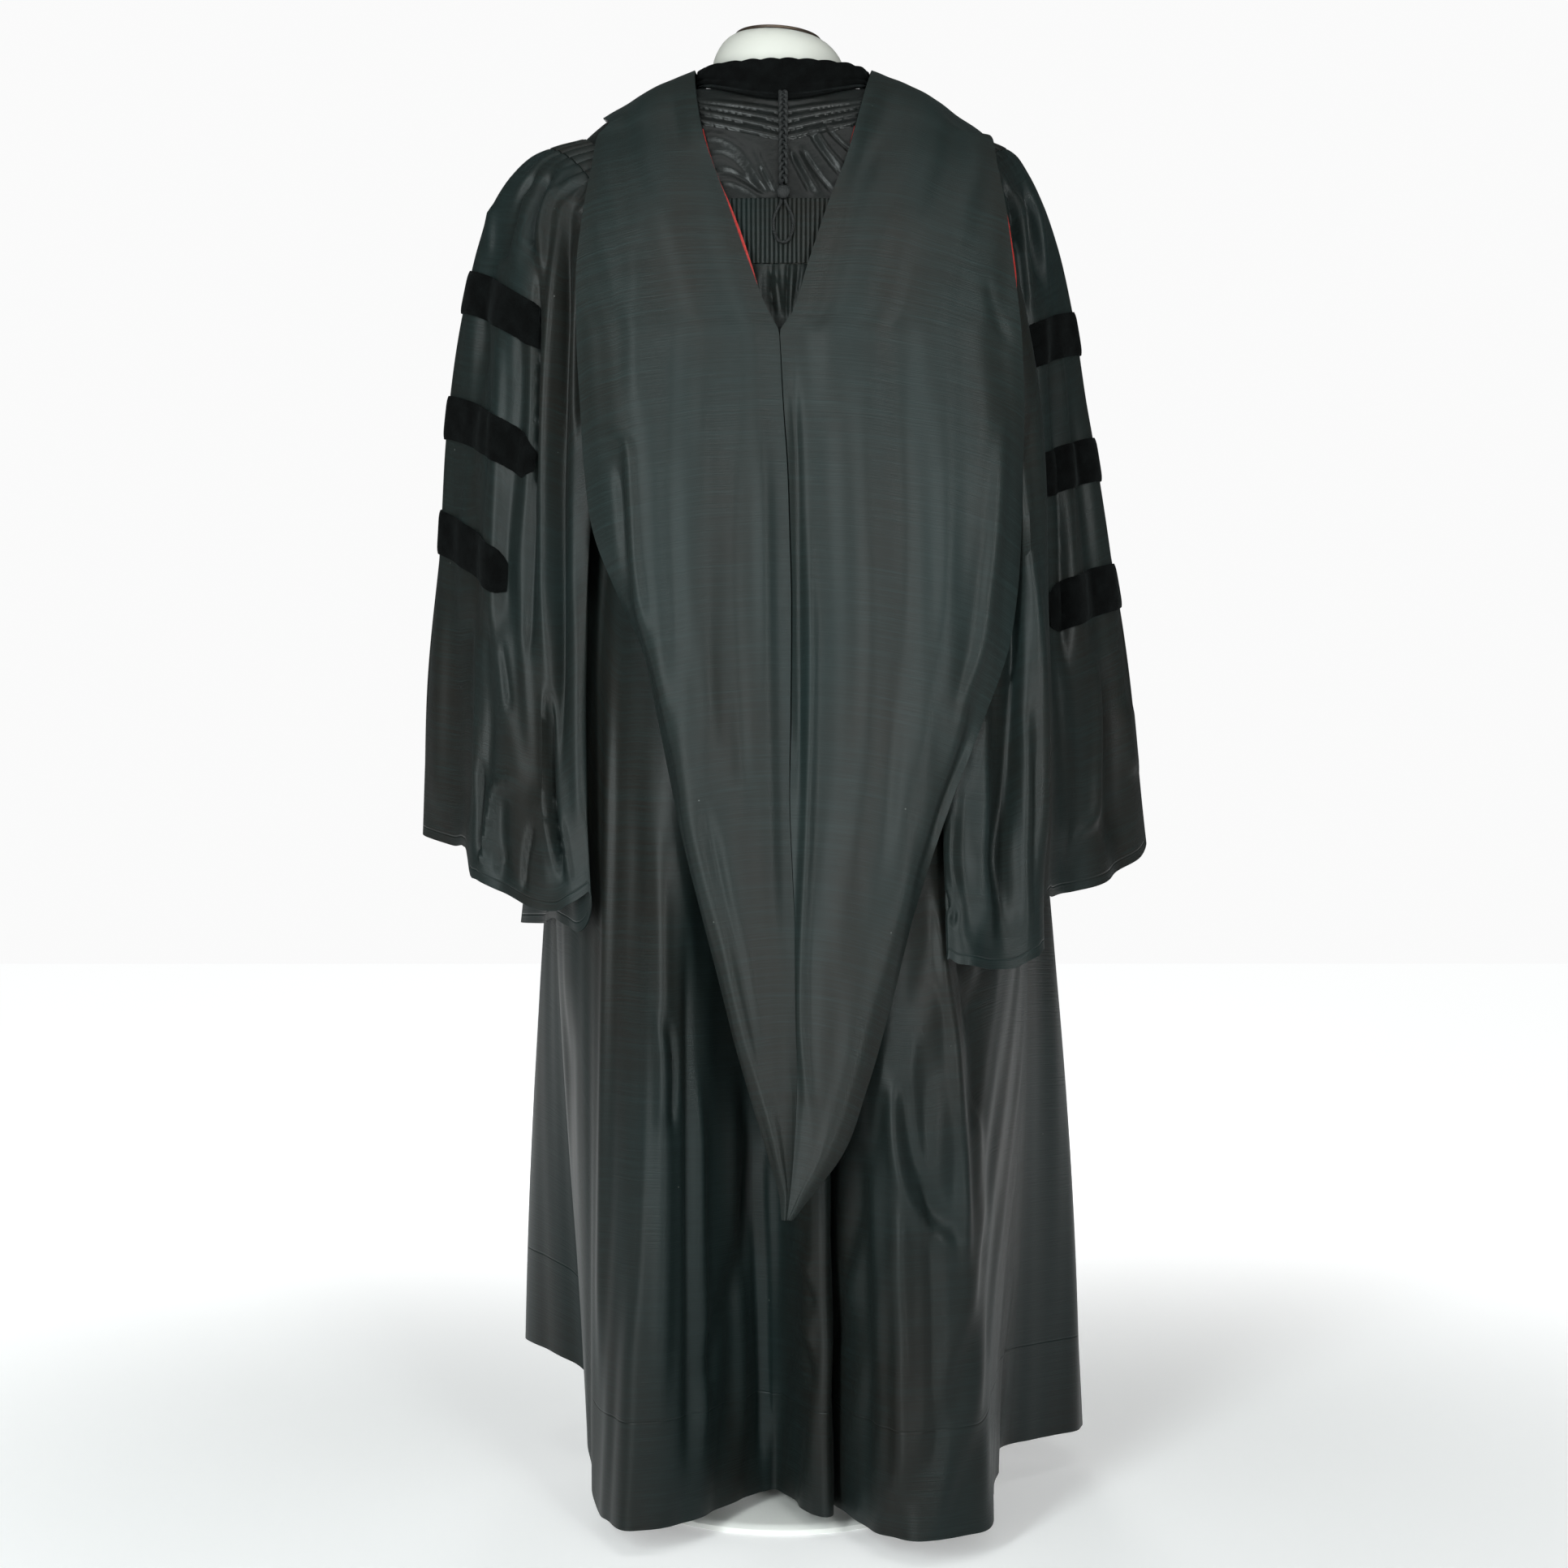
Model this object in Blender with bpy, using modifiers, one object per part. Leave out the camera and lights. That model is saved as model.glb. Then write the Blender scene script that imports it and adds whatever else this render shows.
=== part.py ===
"""Doctoral graduation gown and its hood on a limbless dress form.

Metres, +Z up. The gown's back faces -Y, and +X is the wearer's right.
The origin is the middle of the base's underside.
Angles go round the body in degrees: 0 at the middle of the back, 90 at +X, 180 in front.
"""

import math

import bmesh
import bpy
from mathutils import Vector
from mathutils.bvhtree import BVHTree

COLLECTION_NAME = "graduation_gown"

# Walls and gaps
CLOTH = 0.0012
VELVET = 0.0016
GAP = 0.0003
SEAM = 0.0003

# Dress form
FORM_NECK_TOP_Z = 1.4465
FORM_NECK_SHIFT = -0.005
FORM_NECK_TILT = 4.0
FORM_CLEARANCE = 0.0009
FORM_CLEARANCE_BACK = 0.004
FORM_BOTTOM_Z = 0.735
CAP_RADIUS = 0.0432
CAP_THICKNESS = 0.0030
POLE_RADIUS = 0.0125
BASE_RADIUS = 0.150
BASE_BOSS_TOP = 0.052

# Neck, yoke and armholes
NECK_HALF_WIDTH = 0.080
NECK_HALF_DEPTH = 0.075
NECK_SIDE_Z = 1.392
NECK_BACK_DROP = 0.022
NECK_FRONT_DROP = 0.057
YOKE_BACK_Z = 1.261
YOKE_FRONT_Z = 1.225
ARMHOLE_Z = 1.206
ARMHOLE_HALF_HEIGHT = 0.136
ARMHOLE_HALF_ANGLE = 32.0
TUCKS = 4
TUCK_FIRST_SHARE = 0.05
TUCK_PITCH_SHARE = 0.095
TUCK_HEIGHT = 0.0022
TUCK_SPREAD_ANGLE = 66.0

# Gathers, in flutes
GATHERS_BOTTOM_Z = 1.198
BACK_FLUTES = 58
SLEEVE_FLUTES = 36
SLEEVE_FLUTES_END = 108.0
FLUTE_HEIGHT = 0.0024

# Hem and folds
HEM_BACK_Z = 0.025
FOLDS_START_Z = 1.12
FOLD_GROWTH = 1.1
SIDE_SHIFT = 0.012

# Trimmings
NECKBAND_TOP_Z = 1.409
NECKBAND_FRONT_DROP = 0.042
NECKBAND_LEAN = 0.004
NECKBAND_BACK_LEAN = 0.006
BAR_HEIGHT_SHARE = 0.0575
BAR_POINT = 0.5
BRAID_WIDTH = 0.0096
BRAID_THICKNESS = 0.0032
BUTTON_RADIUS = 0.0066
BUTTON_Z = 1.2665
LOOP_DIAMETER = 0.0034
LINING_WIDTH = 0.012
LINING_SHOWS = 0.0022

# Smooth sections of the body: height, half width, depth behind, depth in front
BODY_SECTIONS = [
    {"z": 0.020, "half_width": 0.280, "back": 0.175, "front": 0.205},
    {"z": 0.300, "half_width": 0.275, "back": 0.168, "front": 0.195},
    {"z": 0.600, "half_width": 0.258, "back": 0.155, "front": 0.172},
    {"z": 0.900, "half_width": 0.222, "back": 0.136, "front": 0.140},
    {"z": 1.070, "half_width": 0.207, "back": 0.126, "front": 0.126},
    {"z": 1.160, "half_width": 0.205, "back": 0.122, "front": 0.120},
    {"z": 1.261, "half_width": 0.204, "back": 0.116, "front": 0.108},
    {"z": 1.342, "half_width": 0.199, "back": 0.088, "front": 0.080},
]
SECTION_POWER = 2.4

# Folds of the skirt, each a ridge or a valley: its angle, and its distance from the axis at the hem
HEM_FOLDS = [
    {"angle": -180.0, "radius": 0.255},
    {"angle": -168.0, "radius": 0.256},
    {"angle": -155.0, "radius": 0.280},
    {"angle": -142.0, "radius": 0.292},
    {"angle": -130.0, "radius": 0.335},
    {"angle": -120.0, "radius": 0.335},
    {"angle": -110.0, "radius": 0.285},
    {"angle": -101.0, "radius": 0.215},
    {"angle": -90.0, "radius": 0.195},
    {"angle": -75.0, "radius": 0.205},
    {"angle": -60.0, "radius": 0.225},
    {"angle": -50.0, "radius": 0.242},
    {"angle": -42.0, "radius": 0.256},
    {"angle": -34.0, "radius": 0.263},
    {"angle": -28.0, "radius": 0.215},
    {"angle": -24.0, "radius": 0.135},
    {"angle": -16.0, "radius": 0.092},
    {"angle": -8.0, "radius": 0.094},
    {"angle": -1.0, "radius": 0.118},
    {"angle": 6.0, "radius": 0.166},
    {"angle": 12.0, "radius": 0.160},
    {"angle": 15.0, "radius": 0.112},
    {"angle": 17.5, "radius": 0.205},
    {"angle": 21.0, "radius": 0.250},
    {"angle": 27.0, "radius": 0.272},
    {"angle": 33.0, "radius": 0.276},
    {"angle": 39.0, "radius": 0.276},
    {"angle": 47.0, "radius": 0.250},
    {"angle": 60.0, "radius": 0.220},
    {"angle": 78.0, "radius": 0.199},
    {"angle": 90.0, "radius": 0.212},
    {"angle": 98.0, "radius": 0.250},
    {"angle": 105.0, "radius": 0.303},
    {"angle": 115.0, "radius": 0.322},
    {"angle": 128.0, "radius": 0.298},
    {"angle": 142.0, "radius": 0.282},
    {"angle": 155.0, "radius": 0.288},
    {"angle": 168.0, "radius": 0.256},
    {"angle": 180.0, "radius": 0.255},
]

# Height of the hem round the body
HEM_HEIGHTS = [
    {"angle": -180.0, "z": 0.100},
    {"angle": -150.0, "z": 0.108},
    {"angle": -120.0, "z": 0.120},
    {"angle": -104.0, "z": 0.116},
    {"angle": -92.0, "z": 0.090},
    {"angle": -76.0, "z": 0.080},
    {"angle": -62.0, "z": 0.074},
    {"angle": -54.0, "z": 0.032},
    {"angle": -42.0, "z": 0.025},
    {"angle": -34.0, "z": 0.025},
    {"angle": 34.0, "z": 0.025},
    {"angle": 40.0, "z": 0.026},
    {"angle": 47.0, "z": 0.040},
    {"angle": 60.0, "z": 0.050},
    {"angle": 90.0, "z": 0.044},
    {"angle": 115.0, "z": 0.038},
    {"angle": 150.0, "z": 0.088},
    {"angle": 180.0, "z": 0.100},
]

# Stations along a sleeve: share of its length, outer edge (height, distance out at each side),
# back edge (height, angle at each side), front edge (height, angle), and inner edge (height)
SLEEVE_STATIONS = [
    {"share": 0.000, "outer_z": 1.3420, "left": 0.2005, "right": 0.2005,
     "back_z": 1.206, "left_turn": 58.0, "right_turn": 58.0, "front_z": 1.206, "front_angle": 122.0, "inner_z": 1.070},
    {"share": 0.045, "outer_z": 1.3340, "left": 0.2300, "right": 0.2200,
     "back_z": 1.196, "left_turn": 57.2, "right_turn": 56.5, "front_z": 1.196, "front_angle": 123.0, "inner_z": 1.048},
    {"share": 0.094, "outer_z": 1.3180, "left": 0.2600, "right": 0.2380,
     "back_z": 1.180, "left_turn": 56.5, "right_turn": 55.0, "front_z": 1.180, "front_angle": 124.0, "inner_z": 1.024},
    {"share": 0.156, "outer_z": 1.2830, "left": 0.2880, "right": 0.2570,
     "back_z": 1.150, "left_turn": 56.0, "right_turn": 53.3, "front_z": 1.150, "front_angle": 125.0, "inner_z": 0.994},
    {"share": 0.215, "outer_z": 1.2420, "left": 0.3040, "right": 0.2710,
     "back_z": 1.115, "left_turn": 56.0, "right_turn": 51.4, "front_z": 1.110, "front_angle": 126.0, "inner_z": 0.965},
    {"share": 0.302, "outer_z": 1.1790, "left": 0.3180, "right": 0.2860,
     "back_z": 1.056, "left_turn": 56.0, "right_turn": 49.4, "front_z": 1.050, "front_angle": 127.0, "inner_z": 0.920},
    {"share": 0.455, "outer_z": 1.0660, "left": 0.3340, "right": 0.3060,
     "back_z": 0.945, "left_turn": 57.0, "right_turn": 46.3, "front_z": 0.940, "front_angle": 128.0, "inner_z": 0.845},
    {"share": 0.609, "outer_z": 0.9520, "left": 0.3420, "right": 0.3250,
     "back_z": 0.828, "left_turn": 56.0, "right_turn": 43.0, "front_z": 0.830, "front_angle": 129.0, "inner_z": 0.765},
    {"share": 0.817, "outer_z": 0.7980, "left": 0.3550, "right": 0.3480,
     "back_z": 0.668, "left_turn": 52.5, "right_turn": 38.5, "front_z": 0.690, "front_angle": 130.0, "inner_z": 0.660},
    {"share": 1.000, "outer_z": 0.6560, "left": 0.3600, "right": 0.3620,
     "back_z": 0.548, "left_turn": 50.0, "right_turn": 35.5, "front_z": 0.575, "front_angle": 131.0, "inner_z": 0.565},
]
SLEEVE_HEAD_SHARE = 0.045
ARMHOLE_LAP = 0.0033
SLEEVE_CLEARANCE = 0.009
SLEEVE_FOLD_THICKNESS = 0.014
SLEEVE_SPREAD = 0.28
SLEEVE_BULGE_POWER = 1.45

# How far the cuff's edge rises (or drops) round each sleeve, below the last bar
CUFF_RISES = [
    {"turn": -180.0, "left": 0.000, "right": 0.010},
    {"turn": -120.0, "left": 0.000, "right": 0.030},
    {"turn": -90.0, "left": 0.000, "right": 0.050},
    {"turn": -45.0, "left": 0.000, "right": 0.025},
    {"turn": 0.0, "left": 0.000, "right": -0.012},
    {"turn": 15.0, "left": -0.005, "right": -0.022},
    {"turn": 30.0, "left": -0.001, "right": -0.030},
    {"turn": 38.0, "left": -0.031, "right": -0.028},
    {"turn": 45.0, "left": -0.034, "right": -0.025},
    {"turn": 50.0, "left": -0.031, "right": -0.022},
    {"turn": 55.0, "left": -0.024, "right": -0.062},
    {"turn": 62.0, "left": -0.013, "right": -0.069},
    {"turn": 75.0, "left": 0.024, "right": -0.043},
    {"turn": 90.0, "left": 0.058, "right": -0.005},
    {"turn": 100.0, "left": 0.030, "right": 0.000},
    {"turn": 112.0, "left": 0.000, "right": 0.000},
    {"turn": 180.0, "left": 0.000, "right": 0.010},
]
CUFF_START_SHARE = 0.60

# Folds of the sleeves: side, angle round the sleeve (0 outside, 90 behind), half width, height,
# and the shares of the length where the fold starts and is full
SLEEVE_FOLDS = [
    {"side": -1, "angle": 26.0, "half_width": 9.0, "height": -0.011, "start": 0.05, "full": 0.20},
    {"side": -1, "angle": 47.0, "half_width": 8.0, "height": 0.012, "start": 0.04, "full": 0.30},
    {"side": -1, "angle": 63.0, "half_width": 8.0, "height": -0.012, "start": 0.05, "full": 0.40},
    {"side": -1, "angle": 78.0, "half_width": 8.0, "height": 0.010, "start": 0.10, "full": 0.60},
    {"side": -1, "angle": -30.0, "half_width": 10.0, "height": -0.010, "start": 0.05, "full": 0.30},
    {"side": -1, "angle": -55.0, "half_width": 10.0, "height": 0.009, "start": 0.05, "full": 0.30},
    {"side": 1, "angle": 22.0, "half_width": 8.0, "height": -0.010, "start": 0.05, "full": 0.20},
    {"side": 1, "angle": 42.0, "half_width": 6.0, "height": -0.014, "start": 0.06, "full": 0.35},
    {"side": 1, "angle": 56.0, "half_width": 9.0, "height": 0.022, "start": 0.10, "full": 0.45},
    {"side": 1, "angle": 78.0, "half_width": 8.0, "height": 0.010, "start": 0.20, "full": 0.60},
    {"side": 1, "angle": -28.0, "half_width": 10.0, "height": -0.009, "start": 0.05, "full": 0.30},
    {"side": 1, "angle": -52.0, "half_width": 10.0, "height": 0.010, "start": 0.05, "full": 0.30},
]

# Velvet bars on each sleeve: share of the length at the bar's middle, how much further down it lies
# 50 degrees behind, and the angles where it ends
SLEEVE_BARS = [
    {"number": 1, "left_share": 0.280, "right_share": 0.337, "left_slope": 0.004, "right_slope": 0.0,
     "left_end": 56.0, "right_end": 42.0, "front_end": -53.0},
    {"number": 2, "left_share": 0.450, "right_share": 0.507, "left_slope": 0.001, "right_slope": 0.0,
     "left_end": 60.0, "right_end": 42.0, "front_end": -53.0},
    {"number": 3, "left_share": 0.602, "right_share": 0.675, "left_slope": 0.016, "right_slope": 0.0,
     "left_end": 52.0, "right_end": 42.0, "front_end": -41.0},
]

# Hood over the shoulders: angle, shares of the yoke at its inner and outer edges, and how far
# its inner edge rises off the yoke
HOOD_SHOULDER_ROWS = [
    {"angle": 179.6, "inner": 0.16, "left_outer": 0.62, "right_outer": 0.62, "rise": 0.0010},
    {"angle": 160.0, "inner": 0.15, "left_outer": 0.62, "right_outer": 0.62, "rise": 0.0010},
    {"angle": 140.0, "inner": 0.12, "left_outer": 0.64, "right_outer": 0.66, "rise": 0.0030},
    {"angle": 120.0, "inner": 0.08, "left_outer": 0.70, "right_outer": 0.76, "rise": 0.0080},
    {"angle": 104.0, "inner": 0.06, "left_outer": 0.76, "right_outer": 0.88, "rise": 0.0125},
    {"angle": 90.0, "inner": 0.06, "left_outer": 0.80, "right_outer": 0.96, "rise": 0.0140},
    {"angle": 76.0, "inner": 0.10, "left_outer": 0.84, "right_outer": 0.98, "rise": 0.0135},
]

# Hood down the back: height, distance right of the middle at the inner edge, the ridge and the
# outer edge of each half, and how far behind the axis the inner edge, ridge and outer edge lie
HOOD_BACK_ROWS = [
    {"z": 1.335, "left_in": -0.078, "right_in": 0.069, "left_ridge": -0.146, "left_out": -0.181,
     "right_ridge": 0.160, "right_out": 0.203, "in": 0.088, "ridge": 0.074, "out": 0.058},
    {"z": 1.300, "left_in": -0.068, "right_in": 0.059, "left_ridge": -0.150, "left_out": -0.184,
     "right_ridge": 0.165, "right_out": 0.206, "in": 0.107, "ridge": 0.101, "out": 0.088},
    {"z": 1.262, "left_in": -0.055, "right_in": 0.045, "left_ridge": -0.155, "left_out": -0.189,
     "right_ridge": 0.172, "right_out": 0.211, "in": 0.127, "ridge": 0.121, "out": 0.108},
    {"z": 1.190, "left_in": -0.029, "right_in": 0.023, "left_ridge": -0.163, "left_out": -0.196,
     "right_ridge": 0.182, "right_out": 0.219, "in": 0.142, "ridge": 0.138, "out": 0.124},
    {"z": 1.127, "left_in": -0.002, "right_in": 0.002, "left_ridge": -0.162, "left_out": -0.195,
     "right_ridge": 0.188, "right_out": 0.225, "in": 0.150, "ridge": 0.149, "out": 0.132},
    {"z": 1.060, "left_in": 0.000, "right_in": 0.000, "left_ridge": -0.156, "left_out": -0.191,
     "right_ridge": 0.198, "right_out": 0.227, "in": 0.157, "ridge": 0.158, "out": 0.136},
    {"z": 1.000, "left_in": 0.004, "right_in": 0.004, "left_ridge": -0.143, "left_out": -0.187,
     "right_ridge": 0.202, "right_out": 0.225, "in": 0.163, "ridge": 0.166, "out": 0.138},
    {"z": 0.940, "left_in": 0.006, "right_in": 0.006, "left_ridge": -0.140, "left_out": -0.178,
     "right_ridge": 0.198, "right_out": 0.223, "in": 0.168, "ridge": 0.172, "out": 0.142},
    {"z": 0.880, "left_in": 0.0075, "right_in": 0.0075, "left_ridge": -0.134, "left_out": -0.154,
     "right_ridge": 0.190, "right_out": 0.218, "in": 0.173, "ridge": 0.178, "out": 0.148},
    {"z": 0.830, "left_in": 0.0075, "right_in": 0.0075, "left_ridge": -0.124, "left_out": -0.131,
     "right_ridge": 0.182, "right_out": 0.209, "in": 0.178, "ridge": 0.183, "out": 0.155},
    {"z": 0.770, "left_in": 0.007, "right_in": 0.007, "left_ridge": -0.109, "left_out": -0.117,
     "right_ridge": 0.166, "right_out": 0.184, "in": 0.184, "ridge": 0.190, "out": 0.165},
    {"z": 0.690, "left_in": 0.006, "right_in": 0.006, "left_ridge": -0.090, "left_out": -0.100,
     "right_ridge": 0.140, "right_out": 0.151, "in": 0.193, "ridge": 0.199, "out": 0.180},
    {"z": 0.590, "left_in": 0.010, "right_in": 0.010, "left_ridge": -0.064, "left_out": -0.074,
     "right_ridge": 0.109, "right_out": 0.121, "in": 0.206, "ridge": 0.212, "out": 0.196},
    {"z": 0.500, "left_in": 0.0125, "right_in": 0.0125, "left_ridge": -0.041, "left_out": -0.050,
     "right_ridge": 0.085, "right_out": 0.097, "in": 0.219, "ridge": 0.225, "out": 0.212},
    {"z": 0.430, "left_in": 0.0125, "right_in": 0.0125, "left_ridge": -0.024, "left_out": -0.032,
     "right_ridge": 0.064, "right_out": 0.076, "in": 0.229, "ridge": 0.235, "out": 0.224},
    {"z": 0.365, "left_in": 0.009, "right_in": 0.009, "left_ridge": -0.006, "left_out": -0.012,
     "right_ridge": 0.040, "right_out": 0.050, "in": 0.239, "ridge": 0.244, "out": 0.235},
    {"z": 0.335, "left_in": 0.006, "right_in": 0.006, "left_ridge": 0.001, "left_out": -0.003,
     "right_ridge": 0.020, "right_out": 0.026, "in": 0.244, "ridge": 0.246, "out": 0.241},
    {"z": 0.313, "left_in": 0.003, "right_in": 0.003, "left_ridge": 0.001, "left_out": -0.001,
     "right_ridge": 0.006, "right_out": 0.008, "in": 0.247, "ridge": 0.248, "out": 0.246},
]
HOOD_KNOTS_ACROSS = [0.0, 0.42, 0.80, 1.0]
HOOD_BULGE = 0.006
HOOD_WALL = 0.0020
HOOD_LIFT = 0.0040
HOOD_SEAM = 0.0005
HOOD_CLEARANCE = 0.0031
HOOD_EDGE_CLEARANCE = 0.0024
SETTLE_REACH = 0.035
SETTLE_SAMPLES = [(0.0, 0.0), (-0.06, 0.0), (0.06, 0.0), (0.0, -0.015), (0.0, 0.015)]
SHOULDER_SHARE = 0.22


def clamp(value, low=0.0, high=1.0):
    return max(low, min(high, value))


def ease(value):
    value = clamp(value)
    return value * value * (3.0 - 2.0 * value)


def curve(places, values, place):
    """A smooth curve through the values, which may be numbers or vectors."""
    last = len(places) - 1
    place = clamp(place, places[0], places[last])
    index = 0
    while index < last - 1 and place > places[index + 1]:
        index += 1
    span = places[index + 1] - places[index]
    rise = (values[index + 1] - values[index]) / span

    def slope(knot):
        if knot in (0, last):
            return rise
        before = places[knot] - places[knot - 1]
        after = places[knot + 1] - places[knot]
        first = (values[knot] - values[knot - 1]) / before
        second = (values[knot + 1] - values[knot]) / after
        return (first * after + second * before) / (before + after)

    t = (place - places[index]) / span
    start = slope(index) * span
    end = slope(index + 1) * span
    a = values[index] * (2 * t**3 - 3 * t**2 + 1) + start * (t**3 - 2 * t**2 + t)
    return a + values[index + 1] * (3 * t**2 - 2 * t**3) + end * (t**3 - t**2)


def column(table, name):
    return [row[name] for row in table]


def around(angle, radius, z):
    """The point at an angle round the body, a distance from the axis and a height."""
    turn = math.radians(angle)
    shift = SIDE_SHIFT * ease((FOLDS_START_Z - z) / FOLDS_START_Z)
    return Vector((shift + radius * math.sin(turn), -radius * math.cos(turn), z))


def spaced(start, end, count):
    return [start + (end - start) * index / count for index in range(count + 1)]


def smooth_radius(angle, z):
    """The body without folds: a rounded section at each height."""
    heights = column(BODY_SECTIONS, "z")
    width = curve(heights, column(BODY_SECTIONS, "half_width"), z)
    turn = math.radians(angle)
    side = "back" if math.cos(turn) > 0 else "front"
    depth = curve(heights, column(BODY_SECTIONS, side), z)
    across = abs(math.sin(turn)) / width
    along = abs(math.cos(turn)) / depth
    return (across**SECTION_POWER + along**SECTION_POWER) ** (-1 / SECTION_POWER)


def wrapped(angle):
    return (angle + 180.0) % 360.0 - 180.0


def fold_growth(z):
    return clamp((FOLDS_START_Z - z) / (FOLDS_START_Z - HEM_BACK_Z)) ** FOLD_GROWTH


def body_radius(angle, z):
    """The body with its folds, which grow from under the gathers to the hem."""
    growth = fold_growth(z)
    smooth = smooth_radius(angle, z)
    hem = curve(column(HEM_FOLDS, "angle"), column(HEM_FOLDS, "radius"), wrapped(angle))
    return smooth + (hem - smooth) * growth


def hem_z(angle):
    return curve(column(HEM_HEIGHTS, "angle"), column(HEM_HEIGHTS, "z"), wrapped(angle))


def armhole_z(angle, sign):
    """Height of the armhole's upper (sign 1) or lower (sign -1) edge at an angle."""
    share = clamp((abs(wrapped(angle)) - 90.0) / ARMHOLE_HALF_ANGLE, -1.0, 1.0)
    return ARMHOLE_Z + sign * ARMHOLE_HALF_HEIGHT * math.sqrt(1 - share * share)


def armhole_angle(z, sign):
    """Angle of the armhole's back (sign -1) or front (sign 1) edge at a height."""
    share = (z - ARMHOLE_Z) / ARMHOLE_HALF_HEIGHT
    return 90.0 + sign * ARMHOLE_HALF_ANGLE * math.sqrt(1 - share * share)


YOKE_BACK_ANGLE = armhole_angle(YOKE_BACK_Z, -1)
YOKE_FRONT_ANGLE = armhole_angle(YOKE_FRONT_Z, 1)
GATHERS_ANGLE = armhole_angle(GATHERS_BOTTOM_Z, -1)


def yoke_edge_z(angle):
    size = abs(wrapped(angle))
    if size < YOKE_BACK_ANGLE:
        return YOKE_BACK_Z
    if size > YOKE_FRONT_ANGLE:
        return YOKE_FRONT_Z
    return armhole_z(angle, 1)


def neck_radius(angle):
    turn = math.radians(angle)
    across = math.sin(turn) / NECK_HALF_WIDTH
    along = math.cos(turn) / NECK_HALF_DEPTH
    return 1 / math.hypot(across, along)


def neck_z(angle):
    level = math.cos(math.radians(angle))
    drop = NECK_BACK_DROP if level > 0 else NECK_FRONT_DROP
    return NECK_SIDE_Z - drop * level * level


def yoke(angle, share):
    """The yoke, from the neck (share 0) to the armholes and lower seams (share 1)."""
    edge_z = yoke_edge_z(angle)
    near = neck_radius(angle)
    far = smooth_radius(angle, edge_z)
    power = 1.35 + 1.05 * math.sin(math.radians(angle)) ** 2
    z = neck_z(angle) + (edge_z - neck_z(angle)) * share**power
    return around(angle, near + (far - near) * share, z)


def normal(surface, u, v, step=0.01):
    across = surface(u + step, v) - surface(u - step, v)
    low = max(v - step, 0.0)
    high = min(v + step, 1.0)
    down = surface(u, high) - surface(u, low)
    found = across.cross(down)
    return found.normalized()


def outward(surface, u, v):
    """The normal of a surface round the body, turned away from the axis."""
    found = normal(surface, u, v)
    place = surface(u, v)
    outside = Vector((place.x, place.y, 0.3 * abs(place.x)))
    return found if found.dot(outside) > 0 else -found


def raised(surface, distance):
    """The same surface moved out by a distance."""
    return lambda u, v: surface(u, v) + outward(surface, u, v) * distance


def material(name, colour, roughness, metallic=0.0, sheen=0.0):
    finish = bpy.data.materials.new(name)
    finish.use_nodes = True
    shader = finish.node_tree.nodes["Principled BSDF"]
    shader.inputs["Base Color"].default_value = (*colour, 1.0)
    shader.inputs["Roughness"].default_value = roughness
    shader.inputs["Metallic"].default_value = metallic
    shader.inputs["Sheen Weight"].default_value = sheen
    return finish


def place_object(name, mesh, finish):
    piece = bpy.data.objects.new(name, mesh)
    mesh.materials.append(finish)
    bpy.data.collections[COLLECTION_NAME].objects.link(piece)
    return piece


def cloth(name, surface, across, down, wall, finish, closed=False):
    """A sewn piece: a grid shaped by surface(u, v) over the given values, given a wall."""
    grid = bmesh.new()
    bmesh.ops.create_grid(grid, x_segments=len(across) - 1, y_segments=len(down) - 1, size=0.5)
    for vertex in grid.verts:
        u = across[round((vertex.co.x + 0.5) * (len(across) - 1))]
        v = down[round((vertex.co.y + 0.5) * (len(down) - 1))]
        vertex.co = surface(u, v)
    if closed:
        bmesh.ops.remove_doubles(grid, verts=grid.verts, dist=1e-5)
    mesh = bpy.data.meshes.new(name)
    grid.to_mesh(mesh)
    grid.free()
    mesh.shade_smooth()
    piece = place_object(name, mesh, finish)
    solid = piece.modifiers.new("Wall", "SOLIDIFY")
    solid.thickness = wall
    solid.offset = 0.0
    return piece


def turned(name, profile, finish, steps=32):
    """A turned shape: its outer side from top to bottom, spun round the axis."""
    mesh = bpy.data.meshes.new(name)
    edges = [(index, index + 1) for index in range(len(profile) - 1)]
    mesh.from_pydata([(radius, 0.0, z) for radius, z in profile], edges, [])
    piece = place_object(name, mesh, finish)
    screw = piece.modifiers.new("Turn", "SCREW")
    screw.steps = steps
    screw.render_steps = steps
    screw.use_merge_vertices = True
    screw.merge_threshold = 0.00005
    screw.use_smooth_shade = True
    return piece


def tube(name, points, diameter, finish):
    data = bpy.data.curves.new(name, "CURVE")
    data.dimensions = "3D"
    data.bevel_depth = diameter / 2
    data.bevel_resolution = 2
    data.use_fill_caps = True
    line = data.splines.new("POLY")
    line.points.add(len(points) - 1)
    for knot, place in zip(line.points, points):
        knot.co = (*place, 1.0)
    return place_object(name, data, finish)


# Dress form

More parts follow.
